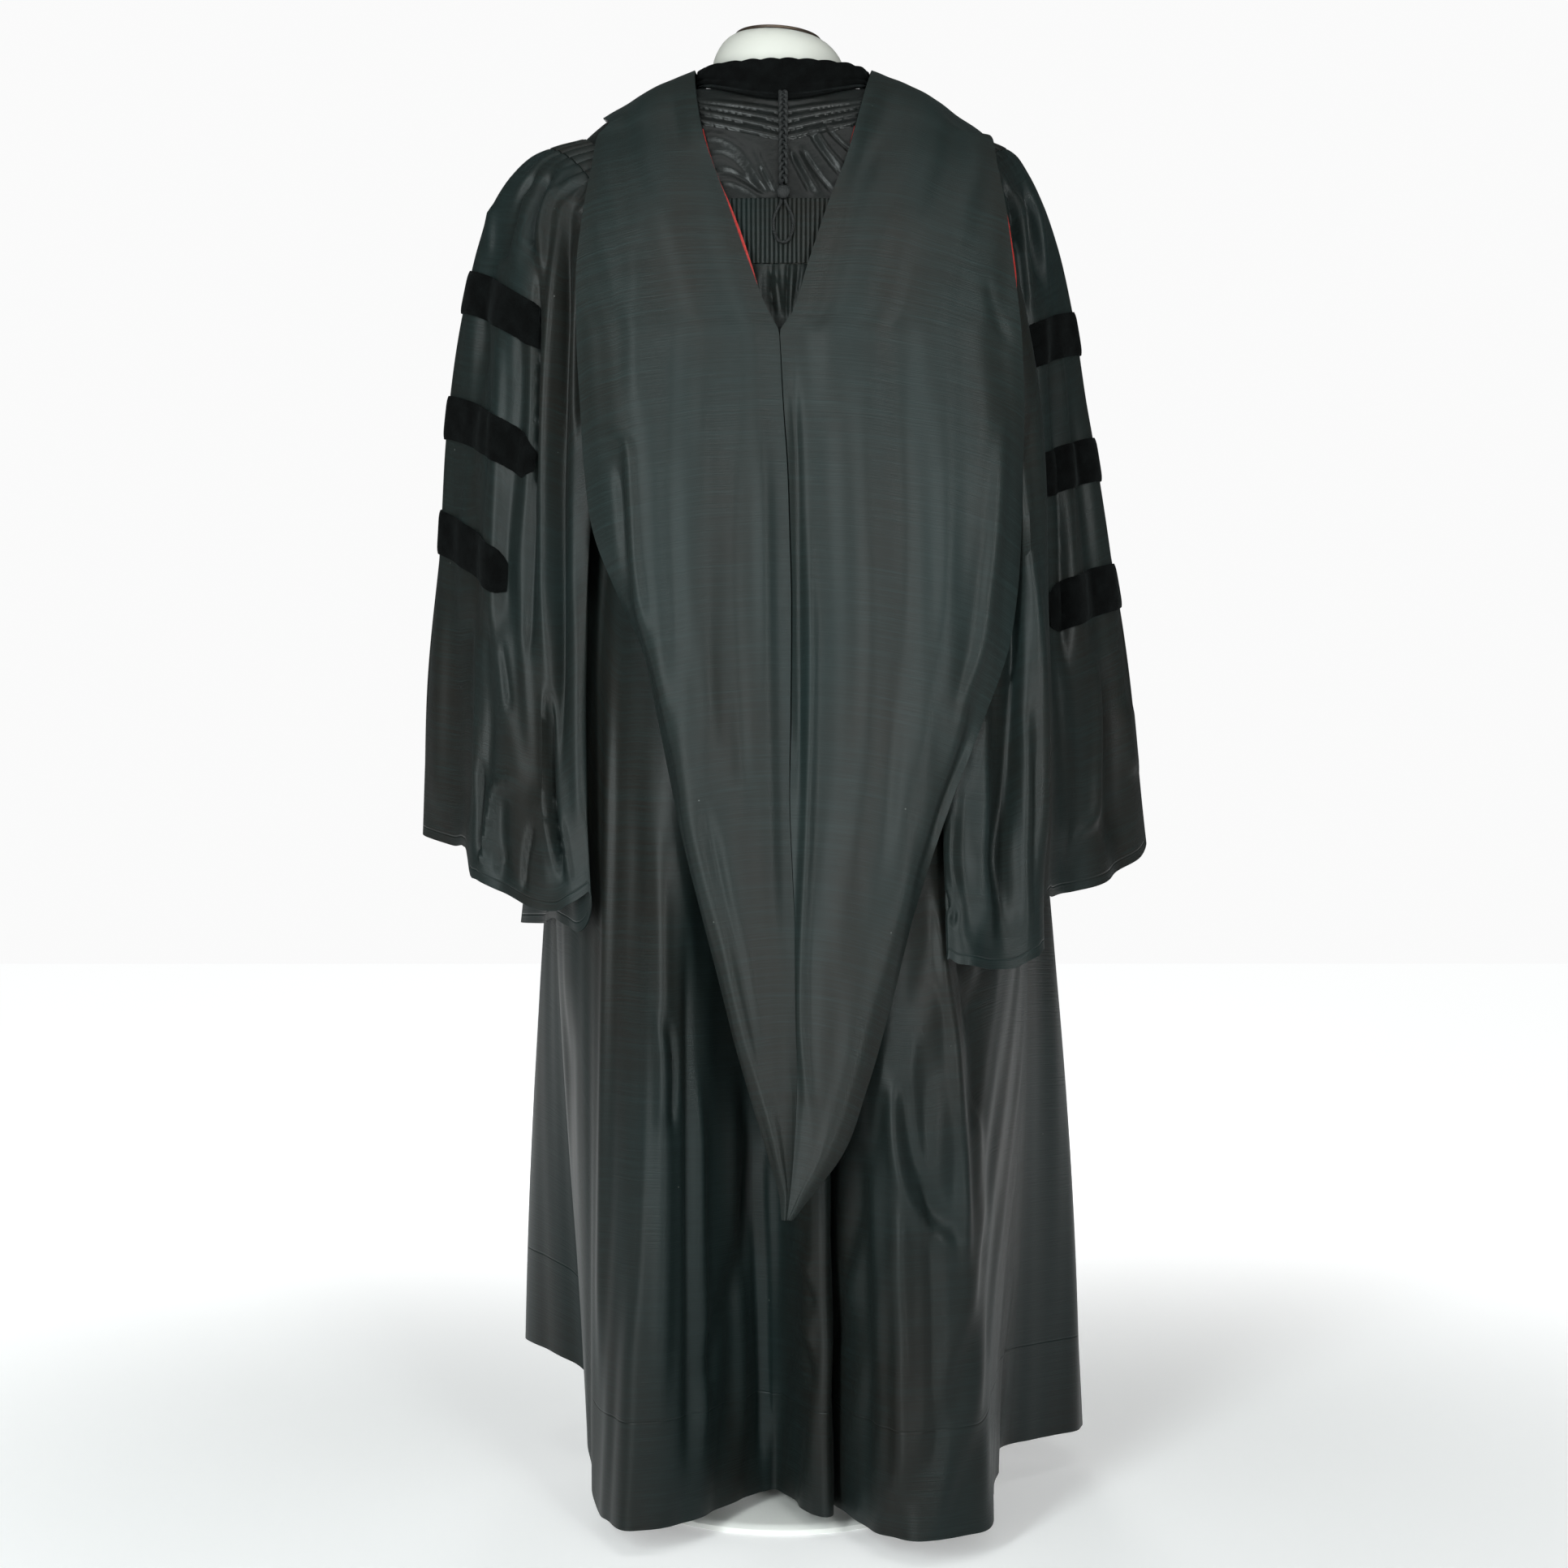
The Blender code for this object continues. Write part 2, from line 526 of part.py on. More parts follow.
def torso_point(angle, level):
    """One ring of the form: a station above the shoulders, on them, or down the torso."""
    kind, value = TORSO_STATIONS[level]
    back = math.cos(math.radians(angle)) ** 2
    if kind == "neck":
        radius, z = value
        leaning = ease((z - NECKBAND_TOP_Z) / (FORM_NECK_TOP_Z - NECKBAND_TOP_Z))
        place = around(angle, radius * (1 - 0.1 * back * (1 - leaning)), z)
        place.z -= math.tan(math.radians(FORM_NECK_TILT)) * place.x * leaning
        place.x += FORM_NECK_SHIFT * ease((z - 1.39) / 0.03)
        return place
    if kind == "base":
        return around(angle, value * (1 - 0.1 * back), neck_z(angle) - 0.009)
    if kind == "shoulder":
        clearance = CLOTH / 2 + FORM_CLEARANCE + FORM_CLEARANCE_BACK * back
        inner = yoke(angle, value)
        up = outward(yoke, angle, min(value, 0.97))
        return inner - up * clearance
    width, depth, z = value
    turn = math.radians(angle)
    across = abs(math.sin(turn)) / width
    along = abs(math.cos(turn)) / depth
    radius = (across**2.2 + along**2.2) ** (-1 / 2.2)
    return Vector((radius * math.sin(turn), -radius * math.cos(turn), z))


TORSO_STATIONS = [
    ("neck", (0.0425, FORM_NECK_TOP_Z)),
    ("neck", (0.0530, 1.4410)),
    ("neck", (0.0610, 1.4310)),
    ("neck", (0.0655, 1.4200)),
    ("neck", (0.0665, 1.4050)),
    ("base", 0.0670),
    ("shoulder", 0.14),
    ("shoulder", 0.35),
    ("shoulder", 0.56),
    ("shoulder", 0.77),
    ("shoulder", 0.96),
    ("torso", (0.188, 0.106, 1.190)),
    ("torso", (0.178, 0.108, 1.110)),
    ("torso", (0.160, 0.104, 1.030)),
    ("torso", (0.146, 0.098, 0.950)),
    ("torso", (0.152, 0.102, 0.870)),
    ("torso", (0.166, 0.112, 0.790)),
    ("torso", (0.166, 0.112, 0.750)),
    ("torso", (0.150, 0.098, FORM_BOTTOM_Z)),
]


def yoke_angles():
    """Angles all round, with one on each corner of the armholes."""
    turns = spaced(0.0, 1.0, 8)
    start = math.asin((90.0 - YOKE_BACK_ANGLE) / ARMHOLE_HALF_ANGLE)
    end = math.asin((YOKE_FRONT_ANGLE - 90.0) / ARMHOLE_HALF_ANGLE)
    side = [90.0 - ARMHOLE_HALF_ANGLE * math.sin(start - (start + end) * t) for t in turns]
    half = spaced(0.0, YOKE_BACK_ANGLE, 5)[:-1] + side + spaced(YOKE_FRONT_ANGLE, 180.0, 4)[1:]
    return [-angle for angle in reversed(half)] + half[1:]


def make_form(finish, cap_finish, metal):
    angles = yoke_angles()[:-1]
    levels = len(TORSO_STATIONS)
    shape = bmesh.new()
    bmesh.ops.create_uvsphere(
        shape, u_segments=len(angles), v_segments=levels + 1, radius=1.0
    )
    for vertex in shape.verts:
        ring = round(math.acos(clamp(vertex.co.z, -1.0, 1.0)) / math.pi * (levels + 1))
        if ring == 0:
            vertex.co = (FORM_NECK_SHIFT, 0.0, FORM_NECK_TOP_Z)
        elif ring == levels + 1:
            vertex.co = (0.0, 0.0, FORM_BOTTOM_Z)
        else:
            turn = math.atan2(vertex.co.x, -vertex.co.y) / (2 * math.pi) % 1.0
            index = round(turn * len(angles)) % len(angles)
            vertex.co = torso_point(angles[index], ring - 1)
    bmesh.ops.recalc_face_normals(shape, faces=shape.faces)
    mesh = bpy.data.meshes.new("form_torso")
    shape.to_mesh(mesh)
    shape.free()
    mesh.shade_smooth()
    place_object("form_torso", mesh, finish)

    cap = [
        (0.0, CAP_THICKNESS),
        (CAP_RADIUS * 0.8, CAP_THICKNESS),
        (CAP_RADIUS - 0.001, CAP_THICKNESS - 0.0004),
        (CAP_RADIUS, CAP_THICKNESS - 0.0012),
        (CAP_RADIUS, 0.0),
        (0.0, 0.0),
    ]
    plate = turned("form_neck_cap", cap, cap_finish, 32)
    plate.location = (FORM_NECK_SHIFT, 0.0, FORM_NECK_TOP_Z + GAP)
    plate.rotation_euler.y = math.radians(FORM_NECK_TILT)
    pole_top = FORM_BOTTOM_Z - GAP
    pole_bottom = BASE_BOSS_TOP + GAP
    pole = [(0.0, pole_top), (POLE_RADIUS, pole_top), (POLE_RADIUS, pole_bottom), (0.0, pole_bottom)]
    turned("form_pole", pole, metal, 16)
    base = [
        (0.0, BASE_BOSS_TOP),
        (0.020, BASE_BOSS_TOP),
        (0.022, BASE_BOSS_TOP - 0.003),
        (0.026, 0.020),
        (0.060, 0.014),
        (BASE_RADIUS - 0.003, 0.008),
        (BASE_RADIUS, 0.005),
        (BASE_RADIUS, 0.0),
        (0.0, 0.0),
    ]
    turned("form_base", base, metal, 32)


# Gown

def tucked_yoke(angle, share):
    """The yoke with its tucks, which run round the back of the neck."""
    place = yoke(angle, share)
    turn = (share - TUCK_FIRST_SHARE) / TUCK_PITCH_SHARE
    fade = ease((TUCK_SPREAD_ANGLE - abs(wrapped(angle))) / 20.0)
    if 0.0 < turn < TUCKS and fade > 0.0:
        crest = 1 - abs(2 * (turn % 1.0) - 1)
        place += outward(yoke, angle, share) * TUCK_HEIGHT * crest * fade
    return place


def make_yoke(finish):
    shares = [0.0] + [TUCK_FIRST_SHARE + TUCK_PITCH_SHARE * step / 2 for step in range(2 * TUCKS + 1)]
    shares += [0.56, 0.71, 0.86, 1.0]

    def surface(angle, share):
        return tucked_yoke(angle, share) + Vector((0.0, 0.0, SEAM)) * ease((share - 0.9) / 0.1)

    cloth("gown_yoke", surface, yoke_angles(), shares, CLOTH, finish, closed=True)


def fluted(count, share):
    """A flute's height: crests and troughs in turn along a gathered edge, flat at its ends."""
    fade = ease(min(share, 1 - share) * count / 3)
    return FLUTE_HEIGHT * fade * (1 - abs(2 * ((share * count) % 1.0) - 1))


def gathered_back(share, v):
    """The gathered heading of the back, from armhole to armhole."""
    z = YOKE_BACK_Z - SEAM + (GATHERS_BOTTOM_Z - YOKE_BACK_Z + 2 * SEAM) * v
    angle = (armhole_angle(z, -1) - 0.2) * (2 * share - 1)
    return around(angle, smooth_radius(angle, z) + fluted(BACK_FLUTES, share), z)


def panel_surface(top):
    """A length of the body, from its top edge (v 0) to the hem (v 1)."""

    def surface(angle, v):
        start = top(angle)
        z = start + (hem_z(angle) - start) * v
        return around(angle, body_radius(angle, z), z)

    return surface


def back_top(angle):
    if abs(angle) < GATHERS_ANGLE:
        return GATHERS_BOTTOM_Z - SEAM
    return armhole_z(angle, -1) - SEAM


def front_top(angle):
    size = abs(wrapped(angle))
    if size > YOKE_FRONT_ANGLE:
        return YOKE_FRONT_Z - 2 * SEAM
    return armhole_z(angle, -1) - SEAM


SIDE_SEAM_ANGLE = 0.09
PANEL_ROWS = [0.0, 0.07, 0.16, 0.26, 0.37, 0.48, 0.60, 0.73, 0.86, 1.0]


def back_angles():
    edge = 90.0 - SIDE_SEAM_ANGLE
    sides = [GATHERS_ANGLE, 60.0, 65.0, 71.0, 78.0, edge]
    inner = [row["angle"] for row in HEM_FOLDS if abs(row["angle"]) < 55.0]
    extra = [-20.0, -12.0, 9.0, 16.3, 19.0, 24.0, -38.0, -31.0, -26.0, 43.0, 52.0]
    return sorted(inner + extra + sides + [-angle for angle in sides])


def front_angles(side):
    first = 90.0 + SIDE_SEAM_ANGLE
    angles = [first, 98.0, 105.0, 111.0, 116.0, 120.0, YOKE_FRONT_ANGLE, 128.0, 135.0, 142.0]
    angles += facing_angles(side)
    return [side * angle for angle in angles]


def facing_angles(side):
    """The front edge is folded under the velvet facing, so both share these angles."""
    return [149.0, 155.0, 162.0, 168.0, 174.0, 180.0 - SIDE_SEAM_ANGLE]


def make_body(finish, velvet):
    shares = spaced(0.0, 1.0, 2 * BACK_FLUTES)
    cloth("gown_back_gathers", gathered_back, shares, [0.0, 1.0], CLOTH, finish)
    cloth("gown_back", panel_surface(back_top), back_angles(), PANEL_ROWS, CLOTH, finish)
    for side, name in ((-1, "left"), (1, "right")):
        surface = panel_surface(front_top)
        cloth("gown_front_" + name, surface, front_angles(side), PANEL_ROWS, CLOTH, finish)
        lift = CLOTH / 2 + GAP + VELVET / 2
        facing = raised(surface, lift)
        angles = [side * angle for angle in facing_angles(side)]
        cloth("velvet_facing_" + name, facing, angles, PANEL_ROWS, VELVET, velvet)


def neckband(angle, v):
    level = min(math.cos(math.radians(angle)), 0.0)
    top = NECKBAND_TOP_Z - NECKBAND_FRONT_DROP * level * level
    bottom = neck_z(angle) + VELVET / 2 + GAP
    lean = NECKBAND_LEAN + NECKBAND_BACK_LEAN * max(math.cos(math.radians(angle)), 0.0) ** 2
    return around(angle, neck_radius(angle) - lean * v, bottom + (top - bottom) * v)


# Sleeves

def station(share, name):
    return curve(column(SLEEVE_STATIONS, "share"), column(SLEEVE_STATIONS, name), share)


def armhole_point(side, turn):
    """The armhole: turn 0 at its top, 90 behind, 180 under the arm."""
    angle = side * (90.0 - ARMHOLE_HALF_ANGLE * math.sin(math.radians(turn)))
    z = ARMHOLE_Z + ARMHOLE_HALF_HEIGHT * math.cos(math.radians(turn))
    return around(angle, body_radius(angle, z) + ARMHOLE_LAP, z)


def inner_radius(angle, z, share):
    """Where the sleeve's inner side lies: clear of the body's folds near it."""
    widest = max(body_radius(angle + near, z) for near in (-8.0, -4.0, 0.0, 4.0, 8.0))
    grown = ease(share / 0.25)
    close = body_radius(angle, z) + ARMHOLE_LAP
    return close * (1 - grown) + (widest + SLEEVE_CLEARANCE) * grown


def edge_turn(side, share, name):
    """Angle round the body of the sleeve's back or front edge."""
    if name == "front":
        return station(share, "front_angle")
    return station(share, "right_turn" if side > 0 else "left_turn")


def cuff_rise(side, turn, share):
    grown = ease((share - CUFF_START_SHARE) / (1 - CUFF_START_SHARE))
    rises = column(CUFF_RISES, "right" if side > 0 else "left")
    return grown * curve(column(CUFF_RISES, "turn"), rises, wrapped(turn))


def sleeve_edge(side, share, name):
    angle = side * edge_turn(side, share, name)
    z = station(share, name + "_z")
    fold = SLEEVE_FOLD_THICKNESS / 2 * ease(share / 0.2)
    return around(angle, inner_radius(angle, z, share) + fold, z)


def hanging_sleeve(side, turn, share):
    """The sleeve's ring: outside it spans from edge to edge, inside it follows the body."""
    c = math.cos(math.radians(turn))
    s = math.sin(math.radians(turn))
    edge = "back" if s > 0 else "front"
    if c >= 0:
        power = 1.0 + (SLEEVE_BULGE_POWER - 1.0) * ease(share / 0.3)
        width = station(share, "right" if side > 0 else "left")
        outer = Vector((side * width, 0.0, station(share, "outer_z")))
        behind = sleeve_edge(side, share, "back")
        before = sleeve_edge(side, share, "front")
        middle = (behind + before) / 2
        corner = behind if s > 0 else before
        place = middle + (outer - middle) * c**power + (corner - middle) * abs(s) ** power
        place.z = outer.z + (corner.z - outer.z) * (1 - c) ** 1.1
        return place
    angle = side * (90.0 + (edge_turn(side, share, edge) - 90.0) * abs(s))
    z = station(share, edge + "_z")
    z += (station(share, "inner_z") - z) * -c
    fold = SLEEVE_FOLD_THICKNESS / 2 * ease(share / 0.2) * (1 + c)
    return around(angle, inner_radius(angle, z, share) + fold, z)


def plain_sleeve(side, turn, share):
    """The sleeve without folds, fitted to the armhole at its head."""
    place = hanging_sleeve(side, turn, share)
    fit = 1 - ease(share / SLEEVE_SPREAD)
    if fit > 0.0:
        place += (armhole_point(side, turn) - hanging_sleeve(side, turn, 0.0)) * fit
    place.z += cuff_rise(side, turn, share)
    return place


def sleeve_surface(side):
    """A sleeve with its folds: turn round it, share down it."""

    def plain(turn, share):
        return plain_sleeve(side, turn, share)

    def surface(turn, share):
        place = plain(turn, share)
        lift = 0.0
        for fold in SLEEVE_FOLDS:
            if fold["side"] != side:
                continue
            grown = ease((share - fold["start"]) / (fold["full"] - fold["start"]))
            off = (turn - fold["angle"]) / fold["half_width"]
            lift += fold["height"] * grown * math.exp(-off * off)
        if abs(lift) > 0.0001:
            place += side * normal(plain, turn, share) * lift
        return place

    return surface


SLEEVE_TURNS = [
    -180.0, -165.0, -150.0, -135.0, -120.0, -105.0, -95.0, -86.0, -76.0, -65.0, -53.0, -41.0, -28.0,
    -14.0, 0.0, 12.0, 23.0, 33.0, 42.0, 49.0, 56.0, 63.0, 71.0, 79.0, 87.0, 95.0, 105.0, 120.0,
    135.0, 150.0, 165.0, 180.0,
]
HEAD_LAP = 0.0030


def bar_slant(bar, name, turn):
    """How much further down a bar lies at a turn than outside."""
    return bar[name + "_slope"] * max(turn, 0.0) / 50.0


def slanted_share(name, turn, share):
    """The share of a row at a turn: rows slant with the bars that they edge."""
    middles = [0.13] + [bar[name + "_share"] for bar in SLEEVE_BARS] + [0.85]
    slants = [0.0] + [bar_slant(bar, name, turn) for bar in SLEEVE_BARS] + [0.0]
    return share + curve(middles, slants, share)


def sleeve_shares(name):
    """Rows down a sleeve, with one at each edge of its bars."""
    shares = [SLEEVE_HEAD_SHARE - 0.006, 0.10, 0.165]
    for bar in SLEEVE_BARS:
        middle = bar[name + "_share"]
        shares += [middle - BAR_HEIGHT_SHARE / 2, middle + BAR_HEIGHT_SHARE / 2]
    return sorted(shares + [0.80, 0.90, 1.0])


def make_sleeves(finish, velvet):
    for side, name in ((-1, "left"), (1, "right")):
        surface = sleeve_surface(side)

        def head(turn, share, surface=surface, side=side):
            place = surface(turn, share)
            place_round = (turn + SLEEVE_FLUTES_END) / (2 * SLEEVE_FLUTES_END)
            flute = fluted(SLEEVE_FLUTES, clamp(place_round))
            up = side * normal(surface, turn, max(share, 0.01))
            return place + up * flute

        under = spaced(SLEEVE_FLUTES_END, 180.0, 6)[1:]
        turns = spaced(-SLEEVE_FLUTES_END, SLEEVE_FLUTES_END, 2 * SLEEVE_FLUTES)
        turns = [-turn for turn in reversed(under)] + turns + under
        edge = SLEEVE_HEAD_SHARE
        cloth("sleeve_head_" + name, head, turns, [0.0, edge], CLOTH, finish, True)

        def slanted(turn, share, surface=surface, name=name):
            return surface(turn, slanted_share(name, turn, share))

        def body(turn, share, surface=slanted, side=side):
            up = side * normal(surface, turn, share)
            return surface(turn, share) - up * HEAD_LAP * (1 - ease((share - edge) / 0.06))

        cloth("sleeve_" + name, body, SLEEVE_TURNS, sleeve_shares(name), CLOTH, finish, True)
        make_bars(side, name, slanted, velvet)


def make_bars(side, name, sleeve, velvet):
    lift = CLOTH / 2 + GAP + VELVET / 2
    for bar in SLEEVE_BARS:
        turns = [turn for turn in SLEEVE_TURNS if bar["front_end"] <= turn <= bar[name + "_end"]]
        middle = bar[name + "_share"]

        def surface(turn, v, turns=turns, middle=middle):
            half = BAR_HEIGHT_SHARE / 2
            at_end = turn in (turns[0], turns[-1])
            place_down = (1 + v * BAR_POINT) / 2 if at_end else (1 + v) / 2
            place = sleeve(turn, middle - half).lerp(sleeve(turn, middle + half), place_down)
            up = side * normal(sleeve, turn, middle + half * v)
            return place + up * (lift + at_end * 2 * GAP)

        bar_name = "sleeve_bar_" + name + "_" + str(bar["number"])
        cloth(bar_name, surface, turns, [-1.0, 1.0], VELVET, velvet)


# Hood

def hood_rows(side):
    """Four points across each row of one half, from the front neck to the tip."""
    name = "right" if side > 0 else "left"
    rows = []
    for row in HOOD_SHOULDER_ROWS:
        angle = side * row["angle"]
        points = []
        for knot in HOOD_KNOTS_ACROSS:
            share = row["inner"] + (row[name + "_outer"] - row["inner"]) * knot
            lift = HOOD_LIFT + row["rise"] * (1 - knot) ** 2
            points.append(yoke(angle, share) + outward(yoke, angle, share) * lift)
        rows.append(points)
    for row in HOOD_BACK_ROWS:
        inner = Vector((row[name + "_in"] + side * HOOD_SEAM, -row["in"], row["z"]))
        ridge = Vector((row[name + "_ridge"], -row["ridge"], row["z"]))
        outer = Vector((row[name + "_out"], -row["out"], row["z"]))
        bulge = HOOD_BULGE * clamp(abs(ridge.x - inner.x) / 0.1)
        middle = inner.lerp(ridge, HOOD_KNOTS_ACROSS[1] / HOOD_KNOTS_ACROSS[2])
        rows.append([inner, middle + Vector((0.0, -bulge, 0.0)), ridge, outer])
    return rows


def hood_surface(side):
    """One half of the hood: u from its inner edge to its outer edge, v from the front to the tip."""
    rows = hood_rows(side)
    places = [0.0]
    for before, after in zip(rows, rows[1:]):
        places.append(places[-1] + (after[1] - before[1]).length)
    places = [place / places[-1] for place in places]

    def surface(u, v):
        knots = [curve(places, [row[knot] for row in rows], v) for knot in range(4)]
        return curve(HOOD_KNOTS_ACROSS, knots, u)

    return surface, places


def settle_trees(*names):
    """The finished pieces that the hood rests on."""
    bpy.context.view_layer.update()
    graph = bpy.context.evaluated_depsgraph_get()
    return [BVHTree.FromObject(bpy.data.objects[name], graph) for name in names]


def settled_surface(hood, under):
    """The hood, moved out wherever it would lie on or in the pieces under it."""

    def surface(u, v):
        out = normal(hood, clamp(u, 0.02, 0.98), v)
        level = Vector((0.0, -1.0, 0.25)) if v > SHOULDER_SHARE else Vector((0.0, 0.0, 1.0))
        out = out if out.dot(level) > 0 else -out
        if v > SHOULDER_SHARE:
            out = (out + Vector((0.0, -1.5, 0.0))).normalized()
        lift = 0.0
        clearance = HOOD_CLEARANCE + HOOD_EDGE_CLEARANCE * ease(1 - 4 * min(u, 1 - u))
        for across, down in SETTLE_SAMPLES:
            place = hood(clamp(u + across), clamp(v + down))
            for tree in under:
                hit = tree.ray_cast(place + out * SETTLE_REACH, -out, 2 * SETTLE_REACH)[0]
                if hit:
                    lift = max(lift, clearance - (place - hit).dot(out))
        return hood(u, v) + out * lift

    return surface


def make_hood(finish, lining):
    across = [0.0, 0.12, 0.27, 0.42, 0.62, 0.80, 0.91, 1.0]
    under = settle_trees("gown_yoke", "gown_back_gathers", "gown_back", "sleeve_head_left",
                         "sleeve_head_right", "sleeve_left", "sleeve_right")
    for side, name in ((-1, "left"), (1, "right")):
        surface, places = hood_surface(side)
        down = list(places)
        for index in range(len(HOOD_SHOULDER_ROWS)):
            down.append((places[index] + places[index + 1]) / 2)
        down.sort()
        settled = settled_surface(surface, under)
        cloth("hood_" + name, settled, across, down, HOOD_WALL, finish)
        make_lining(side, name, settled, places, lining)


def make_lining(side, name, hood, places, finish):
    """Strips of lining under the hood's edges, which show past them."""
    first = len(HOOD_SHOULDER_ROWS)

    def under(inner):
        def surface(u, place_down):
            edge = 0.0 if inner else 1.0
            away = 1.0 if inner else -1.0
            place = hood(edge, place_down)
            into = (hood(edge + away * 0.05, place_down) - place).normalized()
            up = normal(hood, edge + away * 0.03, place_down)
            up = up if up.y < 0 else -up
            sink = HOOD_WALL / 2 + CLOTH / 2 + 3.5 * GAP
            return place + into * (LINING_WIDTH * u - LINING_SHOWS) - up * sink

        return surface

    cloth("hood_lining_" + name, under(True), [0.0, 0.5, 1.0], places[first:first + 5], CLOTH, finish)
    if side > 0:
        down = places[first + 1:first + 5]
        cloth("hood_lining_side", under(False), [0.0, 0.5, 1.0], down, CLOTH, finish)


# Braid, button and loop

def make_braid(finish):
    def surface(u, v):
        share = 0.035 + (0.905 - 0.035) * v
        place = yoke(0.0, share)
        up = outward(yoke, 0.0, share)
        lift = CLOTH / 2 + TUCK_HEIGHT + 2 * GAP + BRAID_THICKNESS / 2
        return place + up * lift + Vector((BRAID_WIDTH * (u - 0.5), 0.0, 0.0))

    cloth("yoke_braid", surface, [0.0, 0.5, 1.0], spaced(0.0, 1.0, 8), BRAID_THICKNESS, finish)
    place = yoke(0.0, 0.965)
    ball = bmesh.new()
    bmesh.ops.create_uvsphere(ball, u_segments=12, v_segments=7, radius=BUTTON_RADIUS)
    depth = 0.62
    for vertex in ball.verts:
        vertex.co.y *= depth
    mesh = bpy.data.meshes.new("yoke_button")
    ball.to_mesh(mesh)
    ball.free()
    mesh.shade_smooth()
    button = place_object("yoke_button", mesh, finish)
    lift = BUTTON_RADIUS * depth + CLOTH / 2 + 5 * GAP
    button.location = (0.0, place.y - lift, BUTTON_Z)
    bottom = BUTTON_Z - BUTTON_RADIUS
    clear = FLUTE_HEIGHT + CLOTH / 2 + GAP + LOOP_DIAMETER / 2
    drop = [(-0.0019, -0.0016), (-0.0026, -0.005), (-0.0052, -0.010), (-0.0080, -0.0160),
            (-0.0093, -0.0230), (-0.0088, -0.0310), (-0.0062, -0.0385), (-0.0022, -0.0420),
            (0.0022, -0.0420), (0.0062, -0.0385), (0.0088, -0.0310), (0.0093, -0.0230),
            (0.0080, -0.0160), (0.0052, -0.010), (0.0026, -0.005), (0.0019, -0.0016)]
    points = [(x, -smooth_radius(0.0, bottom + z) - clear, bottom + z) for x, z in drop]
    tube("yoke_cord_loop", points, LOOP_DIAMETER, finish)


def main():
    for thing in list(bpy.data.objects):
        bpy.data.objects.remove(thing)
    collection = bpy.data.collections.new(COLLECTION_NAME)
    bpy.context.scene.collection.children.link(collection)
    black = material("black_cloth", (0.030, 0.034, 0.033), 0.55, sheen=0.3)
    satin = material("black_satin", (0.028, 0.031, 0.031), 0.38, sheen=0.2)
    velvet = material("black_velvet", (0.004, 0.005, 0.005), 0.95, sheen=0.6)
    red = material("red_lining", (0.45, 0.03, 0.02), 0.6)
    white = material("form_white", (0.80, 0.80, 0.75), 0.55)
    dark = material("cap_metal", (0.060, 0.048, 0.040), 0.4, metallic=0.8)
    metal = material("stand_white", (0.72, 0.72, 0.68), 0.4)
    make_form(white, dark, metal)
    make_yoke(satin)
    make_body(black, velvet)
    angles = yoke_angles()
    cloth("velvet_neckband", neckband, angles, [0.0, 1.0], VELVET, velvet, closed=True)
    make_sleeves(black, velvet)
    make_hood(black, red)
    make_braid(black)


main()
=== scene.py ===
"""Looks of a doctoral graduation gown and its hood on a limbless dress form.

Metres, +Z up. The gown's back faces -Y, and +X is the wearer's right.
Angles go round the body in degrees: 0 at the middle of the back, 90 at +X, 180 in front.
"""

import math

import bpy
import numpy as np
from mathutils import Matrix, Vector
from mathutils.bvhtree import BVHTree


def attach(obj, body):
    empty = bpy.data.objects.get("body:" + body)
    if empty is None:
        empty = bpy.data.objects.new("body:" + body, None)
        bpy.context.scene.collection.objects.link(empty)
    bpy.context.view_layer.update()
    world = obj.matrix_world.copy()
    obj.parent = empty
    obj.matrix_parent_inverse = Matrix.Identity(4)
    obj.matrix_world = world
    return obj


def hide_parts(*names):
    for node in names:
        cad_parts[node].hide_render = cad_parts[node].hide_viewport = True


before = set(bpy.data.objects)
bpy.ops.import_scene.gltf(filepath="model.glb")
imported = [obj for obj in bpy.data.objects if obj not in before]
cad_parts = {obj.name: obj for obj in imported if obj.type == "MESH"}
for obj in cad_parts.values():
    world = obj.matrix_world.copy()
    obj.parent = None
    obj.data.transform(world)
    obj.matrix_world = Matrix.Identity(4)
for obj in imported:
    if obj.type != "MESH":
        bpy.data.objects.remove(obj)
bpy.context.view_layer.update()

# Camera: the photograph's frame, its focal length in its own pixels, and the camera's place
PHOTO = 1932
FOCAL = 2958.0
AXIS_X = 965.0
HORIZON_Y = 966.0
CAMERA_BACK = 2.4
CAMERA_Z = 0.7041

# Walls and gaps
CLOTH = 0.0012
VELVET = 0.0016
GAP = 0.0003
SEAM = 0.0003

# Dress form
FORM_NECK_TOP_Z = 1.4465
FORM_NECK_SHIFT = -0.005
FORM_NECK_TILT = 4.0
FORM_CLEARANCE = 0.0009
FORM_CLEARANCE_BACK = 0.004
FORM_BOTTOM_Z = 0.735
FORM_NECK_BASE_DROP = 0.009
FORM_NECK_FLATNESS = 0.1
TORSO_POWER = 2.2
CAP_RADIUS = 0.0432
CAP_THICKNESS = 0.0030
CAP_BEVEL = 0.0010
POLE_RADIUS = 0.0125
POLE_BEVEL = 0.0008
BASE_BOSS_TOP = 0.052
BASE_PROFILE = [
    (0.0, BASE_BOSS_TOP), (0.019, BASE_BOSS_TOP), (0.022, BASE_BOSS_TOP - 0.003), (0.0235, 0.036),
    (0.026, 0.022), (0.032, 0.0175), (0.060, 0.0140), (0.100, 0.0110), (0.142, 0.0085),
    (0.147, 0.0072), (0.150, 0.0045), (0.150, 0.0), (0.0, 0.0),
]

